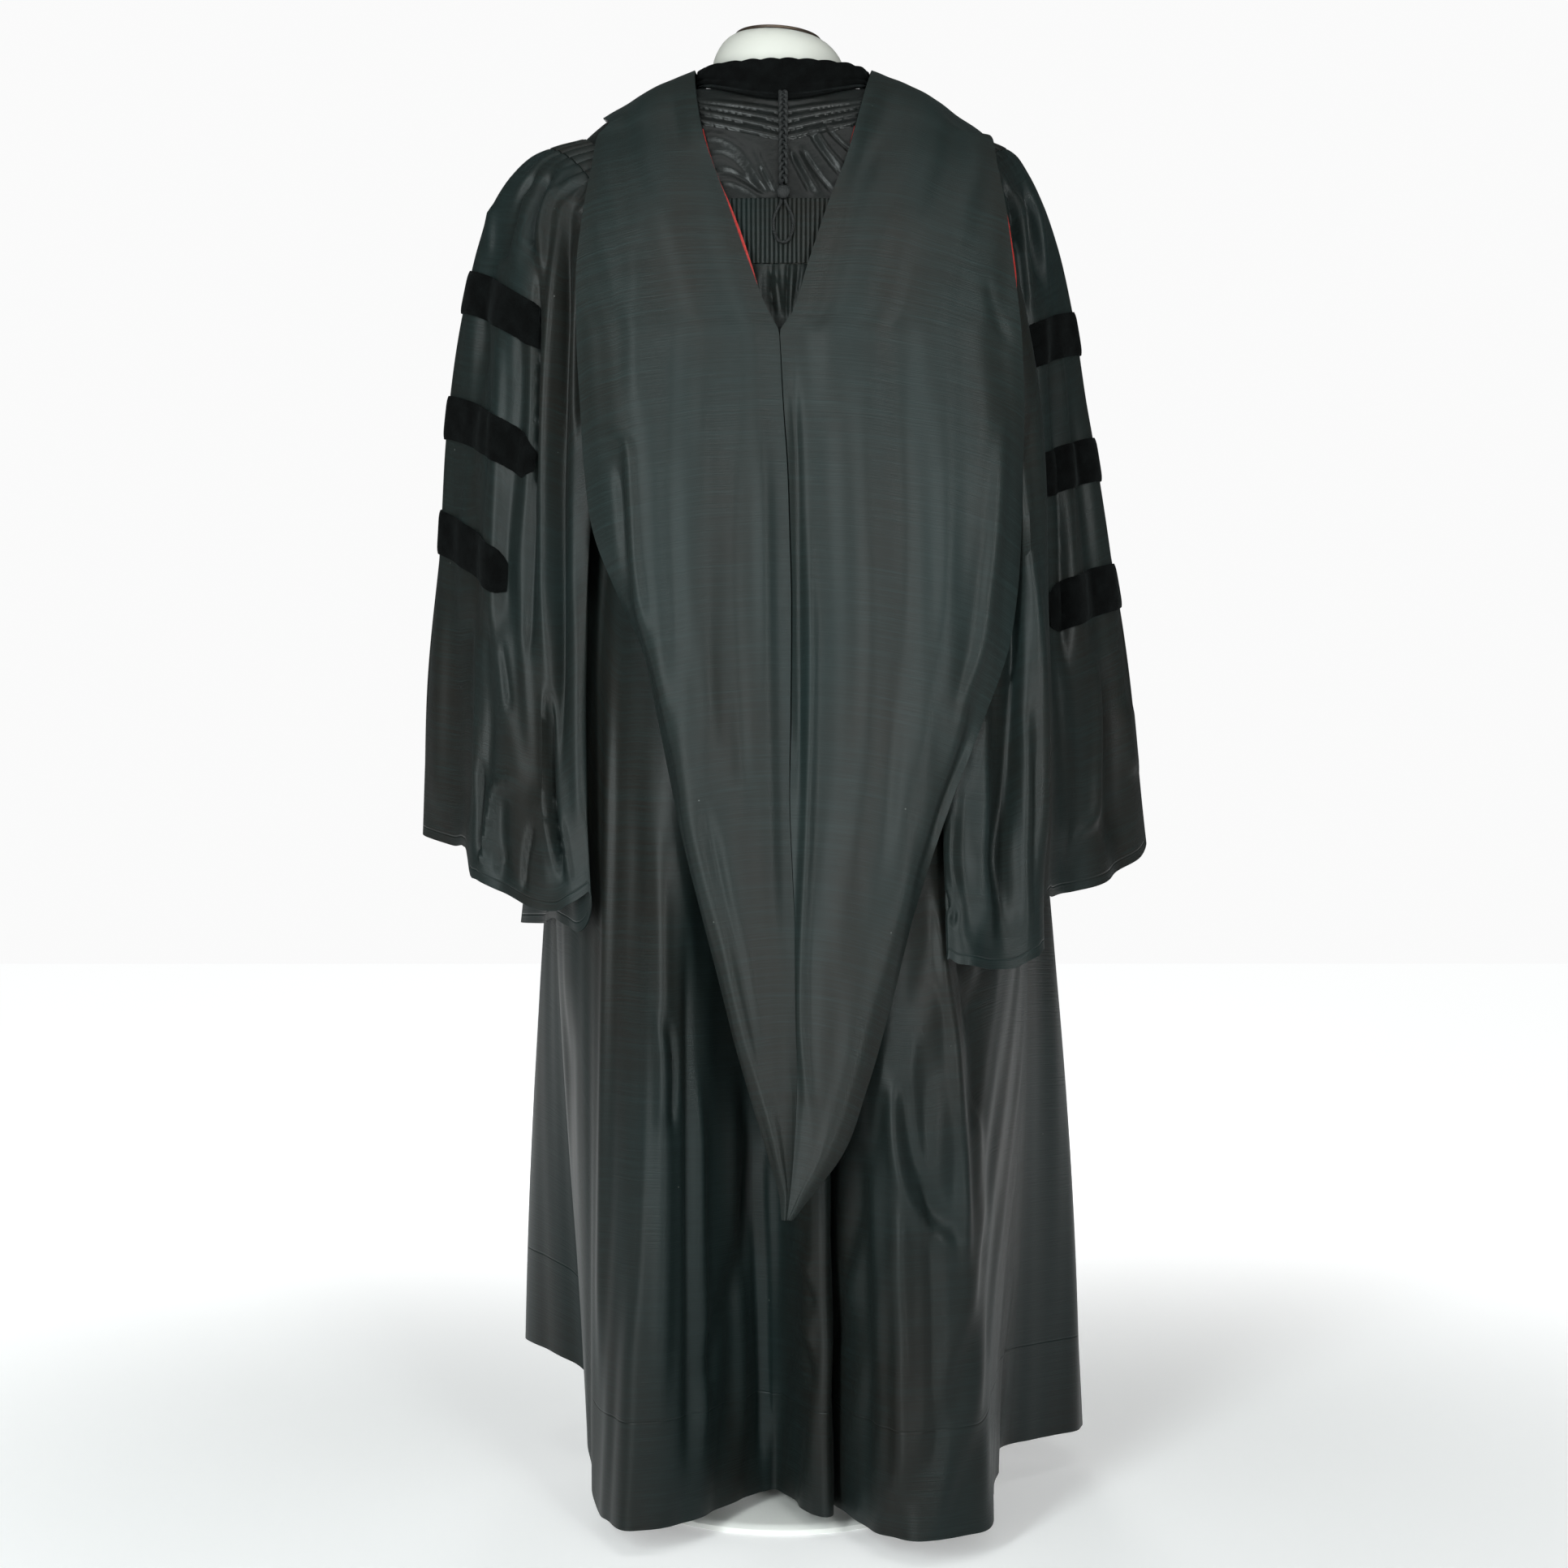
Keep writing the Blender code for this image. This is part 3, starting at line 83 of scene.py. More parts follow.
# Neck, yoke and armholes
NECK_HALF_WIDTH = 0.080
NECK_HALF_DEPTH = 0.075
NECK_SIDE_Z = 1.392
NECK_BACK_DROP = 0.022
NECK_FRONT_DROP = 0.057
YOKE_BACK_Z = 1.261
YOKE_FRONT_Z = 1.225
ARMHOLE_Z = 1.206
ARMHOLE_HALF_HEIGHT = 0.136
ARMHOLE_HALF_ANGLE = 32.0
NECKBAND_TOP_Z = 1.409
NECKBAND_FRONT_DROP = 0.042
NECKBAND_LEAN = 0.004
NECKBAND_BACK_LEAN = 0.006
NECKBAND_SIDE_RISE = 0.004
NECKBAND_SIDE_OUT = 0.008
NECKBAND_LAP = 0.117
NECKBAND_UNDER = 0.28
NECKBAND_EXTRA = 0.0002
NECKBAND_SCALLOPS = 11
NECKBAND_SCALLOP = 0.0014
YOKE_FALL = 1.35
YOKE_FALL_AT_SIDES = 1.05
YOKE_ROW_POWER = 0.92
YOKE_CORNER = 0.02
YOKE_LAP_START = 0.97
YOKE_LAP_FADE = 0.03
YOKE_LAP = 0.0025
YOKE_LAP_OUT = 0.0015
YOKE_LAP_OUT_AT_FACINGS = 0.0034

# Tucks of the yoke: height at the middle and slope of each
TUCK_LINES = [(1.3493, 0.185), (1.3400, 0.232), (1.3306, 0.260), (1.3213, 0.252)]
TUCK_RISE = 0.0024
TUCK_START = 0.0008
TUCK_START_FADE = 0.0011
TUCK_END = 0.0082
TUCK_END_FADE = 0.0070
TUCKS_END_ANGLE = 66.0
TUCKS_FADE = 20.0

# Gathers, hem and folds
GATHERS_BOTTOM_Z = 1.198
BACK_FLUTES = 58
SLEEVE_FLUTES = 36
SLEEVE_FLUTES_END = 108.0
FLUTE_HEIGHT = 0.0024
FLUTE_SHARPNESS = 0.55
HEM_BACK_Z = 0.025
FOLDS_START_Z = 1.12
FOLD_GROWTH = 1.1
SIDE_SHIFT = 0.012
SIDE_SEAM_ANGLE = 0.01
SIDE_FADE = 8.0
FACING_ANGLE = 149.0
EVEN_AT_Z = 0.25
SECTION_POWER = 2.4
HANGING_WAVE = 0.0010
WAVES_START = 0.10
RIPPLES = 7
CREASE_FADE = 0.22
SURFACE_STEP = 0.01

# Waves of the cloth: height, size across and down in metres, and what is added to the seed
HANGING_WAVES = [(1.0, 0.070, 1.60, 0), (0.3, 0.035, 1.10, 1)]
HOOD_WAVES = [(0.0012, 0.075, 1.20, 70), (0.0003, 0.034, 0.90, 80)]

# Seeds of the other waves, to which a sleeve or a front adds its side
BACK_SEED = 11
FRONT_SEED = 20
GATHERS_SEED = 31
NECKBAND_SEED = 41
SLEEVE_SEED = 50
PUCKER_SEED = 60

# Points of each grid: across and down
BACK_GRID = (306, 142)
FRONT_GRID = (94, 96)
HOOD_GRID = (86, 212)
NECKBAND_GRID = (320, 24)
BAR_GRID = (70, 18)
TORSO_GRID = (121, 150)
FACING_COLUMNS = 34
YOKE_MIDDLE_COLUMNS = 156
YOKE_SIDE_COLUMNS = 40
YOKE_ROWS = 125
GATHERS_ROWS = 12
SLEEVE_MIDDLE_COLUMNS = 222
SLEEVE_MIDDLE_ANGLE = 100
SLEEVE_UNDER_COLUMNS = 20
SLEEVE_ROWS = 118
HEAD_UNDER_COLUMNS = 26
HEAD_ROWS = 10
LINING_COLUMNS = 6
ROUND_SIDES = 96
POLE_SIDES = 48
FLUTE_STEPS = 8

# Points that the gown's pieces face away from
BODY_CENTRE = np.array([0.0, 0.0, 0.6])
YOKE_CENTRE = np.array([0.0, 0.0, 1.20])
NECK_CENTRE = np.array([0.0, 0.0, 1.36])
HOOD_CENTRE = np.array([0.0, 0.3, 1.0])

# Smooth sections of the body: height, half width, depth behind, depth in front
BODY_SECTIONS = np.array([
    (0.020, 0.280, 0.175, 0.205),
    (0.300, 0.275, 0.168, 0.195),
    (0.600, 0.258, 0.155, 0.172),
    (0.900, 0.222, 0.136, 0.140),
    (1.070, 0.207, 0.126, 0.126),
    (1.160, 0.205, 0.122, 0.120),
    (1.261, 0.204, 0.116, 0.108),
    (1.342, 0.199, 0.088, 0.080),
])

# Folds of the skirt: angle, and distance from the axis at the hem
HEM_FOLDS = np.array([
    (-180.0, 0.255), (-168.0, 0.256), (-155.0, 0.280), (-142.0, 0.292), (-130.0, 0.335),
    (-120.0, 0.335), (-110.0, 0.285), (-101.0, 0.215), (-90.0, 0.195), (-75.0, 0.205),
    (-60.0, 0.225), (-50.0, 0.242), (-42.0, 0.256), (-34.0, 0.263), (-28.0, 0.215),
    (-24.0, 0.135), (-16.0, 0.092), (-8.0, 0.094), (-1.0, 0.118), (6.0, 0.166),
    (12.0, 0.160), (15.0, 0.112), (17.5, 0.205), (21.0, 0.250), (27.0, 0.272),
    (33.0, 0.276), (39.0, 0.276), (47.0, 0.250), (60.0, 0.220), (78.0, 0.199),
    (90.0, 0.212), (98.0, 0.250), (105.0, 0.303), (115.0, 0.322), (128.0, 0.298),
    (142.0, 0.282), (155.0, 0.288), (168.0, 0.256), (180.0, 0.255),
])

# Height of the hem round the body: angle, height
HEM_HEIGHTS = np.array([
    (-180.0, 0.100), (-150.0, 0.108), (-120.0, 0.120), (-104.0, 0.116), (-92.0, 0.090),
    (-76.0, 0.080), (-62.0, 0.074), (-54.0, 0.032), (-42.0, 0.025), (-34.0, 0.025),
    (34.0, 0.025), (40.0, 0.026), (47.0, 0.040), (60.0, 0.050), (90.0, 0.044),
    (115.0, 0.038), (150.0, 0.088), (180.0, 0.100),
])

# Stations along a sleeve: share of its length, height of the outer edge, distance out at the left
# and at the right, height of the back edge, its angle at the left and at the right, height and
# angle of the front edge, height of the inner edge
SLEEVE_STATIONS = np.array([
    (0.000, 1.3420, 0.2005, 0.2005, 1.206, 58.0, 58.0, 1.206, 122.0, 1.070),
    (0.045, 1.3340, 0.2300, 0.2200, 1.196, 57.2, 56.5, 1.196, 123.0, 1.048),
    (0.094, 1.3180, 0.2600, 0.2380, 1.180, 56.5, 55.0, 1.180, 124.0, 1.024),
    (0.156, 1.2830, 0.2880, 0.2570, 1.150, 56.0, 53.3, 1.150, 125.0, 0.994),
    (0.215, 1.2420, 0.3040, 0.2710, 1.115, 56.0, 51.4, 1.110, 126.0, 0.965),
    (0.302, 1.1790, 0.3180, 0.2860, 1.056, 56.0, 49.4, 1.050, 127.0, 0.920),
    (0.455, 1.0660, 0.3340, 0.3060, 0.945, 57.0, 46.3, 0.940, 128.0, 0.845),
    (0.609, 0.9520, 0.3420, 0.3250, 0.828, 56.0, 43.0, 0.830, 129.0, 0.765),
    (0.817, 0.7980, 0.3550, 0.3480, 0.668, 52.5, 38.5, 0.690, 130.0, 0.660),
    (1.000, 0.6560, 0.3600, 0.3620, 0.548, 50.0, 35.5, 0.575, 131.0, 0.565),
])
OUTER_Z, LEFT_OUT, RIGHT_OUT, BACK_Z, LEFT_TURN, RIGHT_TURN, FRONT_Z, FRONT_TURN, INNER_Z = range(1, 10)
SLEEVE_HEAD_SHARE = 0.045
ARMHOLE_LAP = 0.0033
SLEEVE_CLEARANCE = 0.009
SLEEVE_FOLD_THICKNESS = 0.014
SLEEVE_SPREAD = 0.28
SLEEVE_BULGE_POWER = 1.45
HEAD_LAP = 0.0016
HEAD_TUCK = 0.0024
HEAD_TUCK_IN = 0.0019
FLUTES_START_SHARE = 0.0448
SLEEVE_TOP_SHARES = [0.039, FLUTES_START_SHARE, 0.0462, 0.0480]
SLEEVE_ROWS_START = 0.051
SLEEVE_WAVE = 0.0012
PUCKER_HEIGHT = 0.0016
PUCKERS_END_SHARE = 0.16

# How far the cuff's edge rises (or drops) round each sleeve: turn, left, right
CUFF_RISES = np.array([
    (-180.0, 0.000, 0.036), (-150.0, -0.006, 0.042), (-120.0, -0.012, 0.045), (-90.0, -0.014, 0.050),
    (-60.0, -0.014, 0.035), (-45.0, -0.004, 0.025), (0.0, 0.000, -0.012), (12.0, -0.003, -0.025),
    (20.0, -0.004, -0.030), (28.0, -0.002, -0.033), (36.0, 0.005, -0.034), (38.5, 0.004, -0.033),
    (40.5, -0.014, -0.032), (44.0, -0.017, -0.029), (48.0, -0.018, -0.027), (50.3, -0.018, -0.027),
    (52.0, -0.0175, -0.056), (56.0, -0.017, -0.066), (60.0, -0.016, -0.066), (64.0, -0.0125, -0.066),
    (68.0, -0.007, -0.059), (72.0, 0.0015, -0.051), (76.0, 0.0145, -0.041), (80.0, 0.027, -0.031),
    (84.0, 0.040, -0.021), (88.0, 0.051, -0.008), (92.0, 0.052, -0.004), (100.0, 0.032, 0.000),
    (112.0, 0.014, 0.000), (150.0, 0.012, 0.012), (180.0, 0.000, 0.036),
])
CUFF_START_SHARE = 0.60

# Broad folds of the sleeves: side, angle round the sleeve (0 outside, 90 behind), half width,
# height, and the shares of the length where the fold starts and is full
SLEEVE_FOLDS = [
    (-1, 26.0, 9.0, -0.008, 0.05, 0.20), (-1, 44.0, 8.0, 0.007, 0.04, 0.30),
    (-1, -30.0, 10.0, -0.010, 0.05, 0.30), (-1, -55.0, 10.0, 0.009, 0.05, 0.30),
    (1, 22.0, 8.0, -0.008, 0.05, 0.20), (1, 42.0, 6.0, -0.014, 0.06, 0.35),
    (1, 56.0, 9.0, 0.022, 0.10, 0.45), (1, 78.0, 8.0, 0.010, 0.20, 0.60),
    (1, -28.0, 10.0, -0.009, 0.05, 0.30), (1, -52.0, 10.0, 0.010, 0.05, 0.30),
]

# How far the right sleeve's back fold hangs over the cloth beside it: share of the length, shift
FOLD_OVERHANG = np.array([(0.10, 0.0), (0.32, 0.012), (0.52, 0.013), (0.68, 0.004), (0.85, -0.005),
                          (1.00, -0.012)])
FOLD_OVERHANG_TURN = 51.0
FOLD_OVERHANG_HALF_WIDTH = 6.5

# Velvet bars: number, share of the sleeve's length at the left and at the right, how much further
# down the left one lies 50 degrees behind, angles where the bar ends behind at the left and at the
# right, angle where it ends in front, and how much of its height is left at its ends
SLEEVE_BARS = [
    (1, 0.280, 0.337, 0.004, 56.0, 42.0, -53.0, 0.92),
    (2, 0.450, 0.507, 0.001, 60.0, 42.0, -53.0, 0.42),
    (3, 0.602, 0.675, 0.016, 51.5, 42.0, -41.0, 0.62),
]
BAR_HEIGHT_SHARE = 0.0575
BAR_SLOPE_TURN = 50.0
BAR_END_TURN = 3.2
BAR_CROWN = 0.0012

# Hood over the shoulders: angle, shares of the yoke at its inner edge and at its outer edge left
# and right, and how far its inner edge rises off the yoke
HOOD_SHOULDER_ROWS = [
    (179.6, 0.16, 0.62, 0.62, 0.0010), (160.0, 0.15, 0.62, 0.62, 0.0010),
    (140.0, 0.12, 0.64, 0.66, 0.0030), (120.0, 0.075, 0.70, 0.76, 0.0090),
    (104.0, 0.050, 0.76, 0.88, 0.0145), (90.0, 0.047, 0.80, 0.96, 0.0160),
    (76.0, 0.090, 0.84, 0.98, 0.0148),
]

# Hood down the back: height, places of each half's inner edge, ridge and outer edge (left three,
# right three), and how far behind the axis the inner edge, ridge and outer edge lie
HOOD_BACK_ROWS = [
    (1.335, -0.078, -0.146, -0.181, 0.069, 0.160, 0.203, 0.088, 0.074, 0.058),
    (1.300, -0.068, -0.150, -0.184, 0.059, 0.165, 0.206, 0.107, 0.101, 0.088),
    (1.262, -0.055, -0.155, -0.189, 0.045, 0.172, 0.211, 0.127, 0.121, 0.108),
    (1.190, -0.030, -0.163, -0.196, 0.0215, 0.182, 0.219, 0.142, 0.138, 0.124),
    (1.143, -0.0115, -0.1624, -0.1954, 0.0062, 0.1867, 0.2238, 0.1480, 0.1464, 0.1302),
    (1.128, -0.0036, -0.162, -0.195, -0.0036, 0.188, 0.225, 0.150, 0.149, 0.132),
    (1.122, -0.0032, -0.1617, -0.1948, -0.0032, 0.1887, 0.2252, 0.1505, 0.1497, 0.1324),
    (1.060, 0.000, -0.156, -0.191, 0.000, 0.198, 0.227, 0.157, 0.158, 0.136),
    (1.000, 0.004, -0.143, -0.187, 0.004, 0.202, 0.225, 0.163, 0.166, 0.138),
    (0.940, 0.006, -0.140, -0.178, 0.006, 0.198, 0.223, 0.168, 0.172, 0.142),
    (0.880, 0.0075, -0.134, -0.154, 0.0075, 0.190, 0.218, 0.173, 0.178, 0.148),
    (0.830, 0.0075, -0.124, -0.131, 0.0075, 0.182, 0.209, 0.178, 0.183, 0.155),
    (0.770, 0.007, -0.109, -0.117, 0.007, 0.166, 0.184, 0.184, 0.190, 0.165),
    (0.690, 0.006, -0.090, -0.100, 0.006, 0.140, 0.151, 0.193, 0.199, 0.180),
    (0.590, 0.010, -0.064, -0.074, 0.010, 0.109, 0.121, 0.206, 0.212, 0.196),
    (0.500, 0.0125, -0.041, -0.050, 0.0125, 0.085, 0.097, 0.219, 0.225, 0.212),
    (0.430, 0.0125, -0.024, -0.032, 0.0125, 0.064, 0.076, 0.229, 0.235, 0.224),
    (0.365, 0.009, -0.006, -0.012, 0.009, 0.040, 0.050, 0.239, 0.244, 0.235),
    (0.335, 0.006, 0.001, -0.003, 0.006, 0.020, 0.026, 0.244, 0.246, 0.241),
    (0.313, 0.003, 0.001, -0.001, 0.003, 0.006, 0.008, 0.247, 0.248, 0.246),
]
HOOD_KNOTS_ACROSS = [0.0, 0.42, 0.80, 1.0]
HOOD_BULGE = 0.006
HOOD_WALL = 0.0020
HOOD_LIFT = 0.0040
HOOD_SEAM = 0.0005
HOOD_CLEARANCE = 0.0031
HOOD_EDGE_CLEARANCE = 0.0024
SETTLE_REACH = 0.035
SETTLE_SAMPLES = [(0.0, 0.0), (-0.06, 0.0), (0.06, 0.0), (0.0, -0.015), (0.0, 0.015)]
SHOULDER_SHARE = 0.22
HOOD_SETTLED_ACROSS = [0.0, 0.12, 0.27, 0.42, 0.62, 0.80, 0.91, 1.0]

# Creases of each piece: half width and height in millimetres, then x and y of the points of each
# in the photograph's pixels
CREASES = {
    "sleeve_left": [
        (4, -7, 668, 200, 656, 215, 642, 243, 632, 282, 623, 312, 608, 324),
        (4, 3, 606, 250, 604, 290, 606, 318), (5, 4, 652, 225, 640, 262, 634, 300, 640, 335),
        (4, -10, 684, 203, 667, 236, 656, 262, 653, 296, 662, 320),
        (4, 5, 690, 212, 676, 240, 667, 275, 668, 310, 672, 350),
        (5.5, 8, 703, 216, 697, 240, 691, 277, 679, 398, 672, 545, 671, 760, 672, 850),
        (6.5, -14, 718, 222, 706, 245, 701, 280, 697, 340, 695, 400, 692, 500, 690, 600, 691, 760, 690,
         900, 690, 980), (2.4, -7, 664, 322, 663, 374, 663, 435, 662, 545, 660, 640),
        (5, 5, 714, 262, 712, 330, 708, 420, 708, 560), (2.5, -5, 724, 226, 716, 236, 712, 246),
        (4, -5, 722, 256, 714, 266), (4.5, -4, 597, 335, 600, 450, 597, 560, 590, 660, 588, 820),
        (6, 2.5, 583, 345, 584, 450, 580, 560, 572, 680, 568, 840),
        (5, 3, 612, 340, 616, 460, 612, 560, 608, 680, 606, 820, 606, 930),
        (6, -4, 638, 350, 643, 470, 637, 560, 624, 690, 631, 800),
        (4.5, 3, 651, 370, 654, 500, 650, 600, 642, 700, 648, 840, 656, 960),
        (4, -4, 662, 600, 656, 730, 652, 820), (6.5, 3, 709, 700, 712, 800, 712, 930, 714, 1040),
        (7, -5, 577, 720, 577, 840, 574, 960, 572, 1035), (8, 3, 548, 720, 543, 830, 540, 930, 541, 1030),
        (3, 2.5, 584, 760, 585, 880, 583, 1010), (6, -5, 598, 740, 605, 860, 601, 930, 594, 1010),
        (12, 4, 628, 740, 622, 840, 632, 910, 648, 990), (2.6, -3.5, 620, 790, 626, 835, 631, 878),
        (2.7, 4.5, 592, 1084, 594, 1060, 598, 1034, 603, 1002, 607, 975, 615, 966, 630, 961, 646, 968),
        (8, -6, 618, 968, 616, 1010, 618, 1050, 624, 1096), (2.5, -3, 624, 1050, 610, 1070),
        (2.4, -6, 591, 930, 591, 1000, 590, 1068), (3.2, -5, 660, 1010, 653, 1036, 648, 1064, 645, 1104),
        (8, 4, 664, 960, 670, 1030, 676, 1112),
        (3.4, -11, 676, 840, 677, 930, 680, 989, 685, 1030, 696, 1092),
        (2.8, 4, 669, 840, 670, 930, 673, 990, 678, 1030, 688, 1086),
        (2.2, 3, 690, 1000, 697, 1040, 704, 1090),
    ],
    "sleeve_right": [
        (3, -8, 1232, 216, 1246, 244, 1251, 282, 1255, 316),
        (4, 5, 1243, 224, 1255, 249, 1261, 303, 1268, 364, 1274, 396),
        (4.5, -9, 1254, 216, 1268, 244, 1274, 288, 1279, 339, 1283, 396),
        (4, 4, 1270, 232, 1281, 280, 1286, 330, 1290, 386), (5, 4, 1236, 262, 1240, 320, 1250, 380),
        (4.5, -6, 1287, 380, 1296, 450, 1301, 545, 1306, 640, 1308, 740, 1312, 860),
        (4, 4, 1298, 390, 1307, 470, 1314, 560, 1320, 680, 1328, 820),
        (5, -3.5, 1314, 420, 1324, 540, 1336, 640, 1344, 760, 1350, 860),
        (6, 2.5, 1330, 480, 1346, 620, 1360, 760, 1374, 900),
        (6, 4, 1304, 780, 1310, 880, 1312, 970, 1306, 1070),
        (4, 5, 1346, 780, 1352, 880, 1351, 960, 1349, 1005, 1326, 1032, 1316, 1074),
        (8, -6, 1362, 790, 1368, 900, 1368, 1000, 1360, 1060), (6, 3, 1388, 860, 1396, 960),
        (4.5, 6, 1252, 480, 1257, 560, 1263, 620, 1268, 679, 1276, 745, 1283, 830, 1286, 911, 1287, 1000,
         1286, 1130),
        (9, -16, 1243, 600, 1246, 700, 1249, 800, 1243, 900, 1238, 978, 1230, 1049, 1234, 1103, 1236,
         1183), (5, 5, 1262, 860, 1265, 978, 1264, 1049, 1267, 1121, 1266, 1176),
        (3, -3, 1276, 900, 1275, 1000, 1271, 1090, 1275, 1160),
        (6, 7, 1218, 820, 1210, 900, 1212, 1026, 1210, 1067, 1216, 1121, 1223, 1186),
        (8, -4, 1192, 940, 1188, 1040, 1194, 1110, 1202, 1184),
        (4, 4, 1176, 1000, 1173, 1060, 1180, 1110), (2.6, -5, 1160, 1098, 1171, 1122),
        (3, -4, 1178, 1118, 1172, 1140),
    ],
    "gown_back": [
        (3, 3, 938, 322, 934, 350, 940, 385), (2.4, -4, 951, 320, 950, 355, 955, 392),
        (2.6, 4, 956, 322, 957, 350, 962, 390), (2.4, -4.5, 971, 322, 970, 360, 969, 392),
        (2.6, 4, 977, 322, 974, 350, 972, 390), (3, 3, 990, 322, 985, 355, 978, 390),
        (2.2, -3, 986, 318, 983, 345, 979, 372),
        (5, 5, 752, 780, 752, 1000, 748, 1200, 744, 1500, 742, 1780),
        (9, -4, 780, 900, 784, 1100, 782, 1400, 770, 1700),
        (8, 5, 812, 980, 816, 1200, 818, 1500, 812, 1800),
        (5, -6, 846, 1120, 848, 1300, 850, 1600, 846, 1840),
        (5, 5, 860, 1300, 862, 1500, 866, 1700, 862, 1840),
        (7, 5, 900, 1300, 905, 1500, 912, 1700, 910, 1820),
        (5, -5, 930, 1450, 934, 1600, 938, 1750, 934, 1830),
        (8, -5, 700, 1200, 698, 1400, 700, 1600, 712, 1760), (8, 4, 676, 1200, 676, 1400, 672, 1650),
        (7, -5, 1060, 1400, 1064, 1550, 1068, 1700, 1066, 1880),
        (8, 5, 1100, 1350, 1108, 1500, 1112, 1700, 1108, 1890),
        (5, 6, 1147, 1060, 1160, 1180, 1172, 1260, 1184, 1400, 1192, 1600),
        (8, -5, 1135, 1240, 1142, 1400, 1150, 1600, 1154, 1860),
        (6, -8, 1180, 1120, 1196, 1250, 1200, 1400),
        (6, 5, 1096, 1330, 1103, 1415, 1120, 1482, 1146, 1518, 1190, 1548),
        (6, -5, 1112, 1320, 1120, 1400, 1137, 1462, 1160, 1500, 1192, 1524),
        (7, 4, 1048, 1390, 1040, 1470, 1046, 1560, 1052, 1640), (3, -4, 992, 1586, 1005, 1614),
        (3, 3.5, 986, 1622, 1001, 1654), (3, -4, 990, 1664, 1004, 1702), (3, 3, 984, 1540, 1001, 1580),
        (3.4, -5, 818, 1250, 829, 1308, 826, 1400), (4, 3, 806, 1240, 815, 1310, 814, 1400),
        (8, -5, 921, 1351, 924, 1430, 907, 1557, 880, 1640, 856, 1748),
        (6, 4, 945, 1390, 952, 1533, 954, 1676, 950, 1820),
        (5, 4, 1202, 1210, 1196, 1308, 1204, 1420, 1208, 1560),
    ],
    "hood_left": [
        (5, 5, 727, 522, 766, 540, 775, 556, 778, 613, 783, 692, 790, 745, 797, 795),
        (5, -5, 760, 560, 766, 620, 770, 700, 778, 750), (12, 2.5, 790, 230, 782, 400, 780, 520),
        (12, -2.5, 830, 330, 822, 520, 826, 700, 850, 900),
        (12, 2.5, 868, 420, 862, 600, 868, 800, 890, 1000),
        (9, -2.5, 908, 470, 905, 640, 908, 820, 922, 1050),
        (8, 2.5, 942, 500, 944, 700, 948, 950, 952, 1200),
        (7, 3, 835, 960, 862, 1080, 896, 1210, 930, 1350),
        (7, -3, 860, 960, 886, 1080, 916, 1210, 944, 1350),
    ],
    "hood_right": [
        (5, -5, 976, 420, 982, 600, 984, 800, 985, 1000),
        (5, 4, 996, 600, 1000, 800, 996, 999, 988, 1177, 988, 1276, 996, 1355, 1004, 1420),
        (12, -2.5, 1030, 380, 1024, 560, 1028, 760, 1024, 960, 1010, 1180),
        (12, 2.5, 1070, 330, 1068, 540, 1072, 760, 1062, 980, 1040, 1200),
        (12, -2.5, 1112, 300, 1116, 500, 1118, 700, 1100, 930, 1070, 1180),
        (12, 2.5, 1160, 300, 1168, 480, 1170, 660, 1150, 860, 1116, 1060),
        (5, -1.6, 1216, 340, 1228, 395, 1252, 430),
        (5, 2.6, 1238, 480, 1230, 640, 1220, 720, 1211, 795, 1190, 855, 1180, 911, 1162, 985),
        (8, -2, 1222, 500, 1214, 646, 1204, 730, 1192, 810, 1168, 890),
    ],
    "gown_yoke": [
        (5, 1.8, 850, 182, 876, 168, 908, 180, 930, 208, 952, 246),
        (4, -1.5, 856, 206, 884, 190, 908, 202, 926, 224, 946, 248),
        (3, -1.9, 874, 214, 898, 212, 922, 224, 952, 242),
        (3.5, 1.2, 866, 232, 896, 224, 924, 234, 950, 250), (3.4, 1.6, 926, 176, 938, 202, 956, 238),
        (2.2, -1.6, 934, 204, 944, 224, 954, 242), (2.2, -2.2, 994, 158, 1014, 188, 1040, 222),
        (2.4, 1.5, 1002, 156, 1022, 186, 1046, 212), (2.4, -1.9, 970, 182, 984, 210, 1002, 244),
        (2.6, 1.5, 977, 180, 992, 208, 1014, 244), (2.4, -2, 984, 178, 1006, 212, 1032, 244),
        (2.2, -1.8, 1016, 154, 1032, 172, 1052, 190),
    ],
}


def ease(value):
    value = np.clip(value, 0.0, 1.0)
    return value * value * (3.0 - 2.0 * value)


def curve(places, values, at):
    """A smooth curve through the values, which may be numbers or points, read at every place."""
    places = np.asarray(places, float)
    values = np.asarray(values, float)
    at = np.clip(np.asarray(at, float), places[0], places[-1])
    index = np.clip(np.searchsorted(places, at) - 1, 0, len(places) - 2)
    shape = (-1,) + (1,) * (values.ndim - 1)
    spans = np.diff(places).reshape(shape)
    rises = np.diff(values, axis=0) / spans
    slopes = np.concatenate([rises[:1], rises, rises[-1:]])[:-1].copy()
    slopes[-1] = rises[-1]
    slopes[1:-1] = (rises[:-1] * spans[1:] + rises[1:] * spans[:-1]) / (spans[1:] + spans[:-1])
    t = (at - places[index]) / np.diff(places)[index]
    t = t.reshape(t.shape + (1,) * (values.ndim - 1))
    span = np.diff(places)[index].reshape(t.shape)
    first = values[index] * (2 * t**3 - 3 * t**2 + 1) + slopes[index] * span * (t**3 - 2 * t**2 + t)
    return first + values[index + 1] * (3 * t**2 - 2 * t**3) + slopes[index + 1] * span * (t**3 - t**2)


def around(angle, radius, z):
    turn = np.radians(angle)
    shift = SIDE_SHIFT * ease((FOLDS_START_Z - z) / FOLDS_START_Z)
    x = shift + radius * np.sin(turn)
    return np.stack(np.broadcast_arrays(x, -radius * np.cos(turn), z), -1)


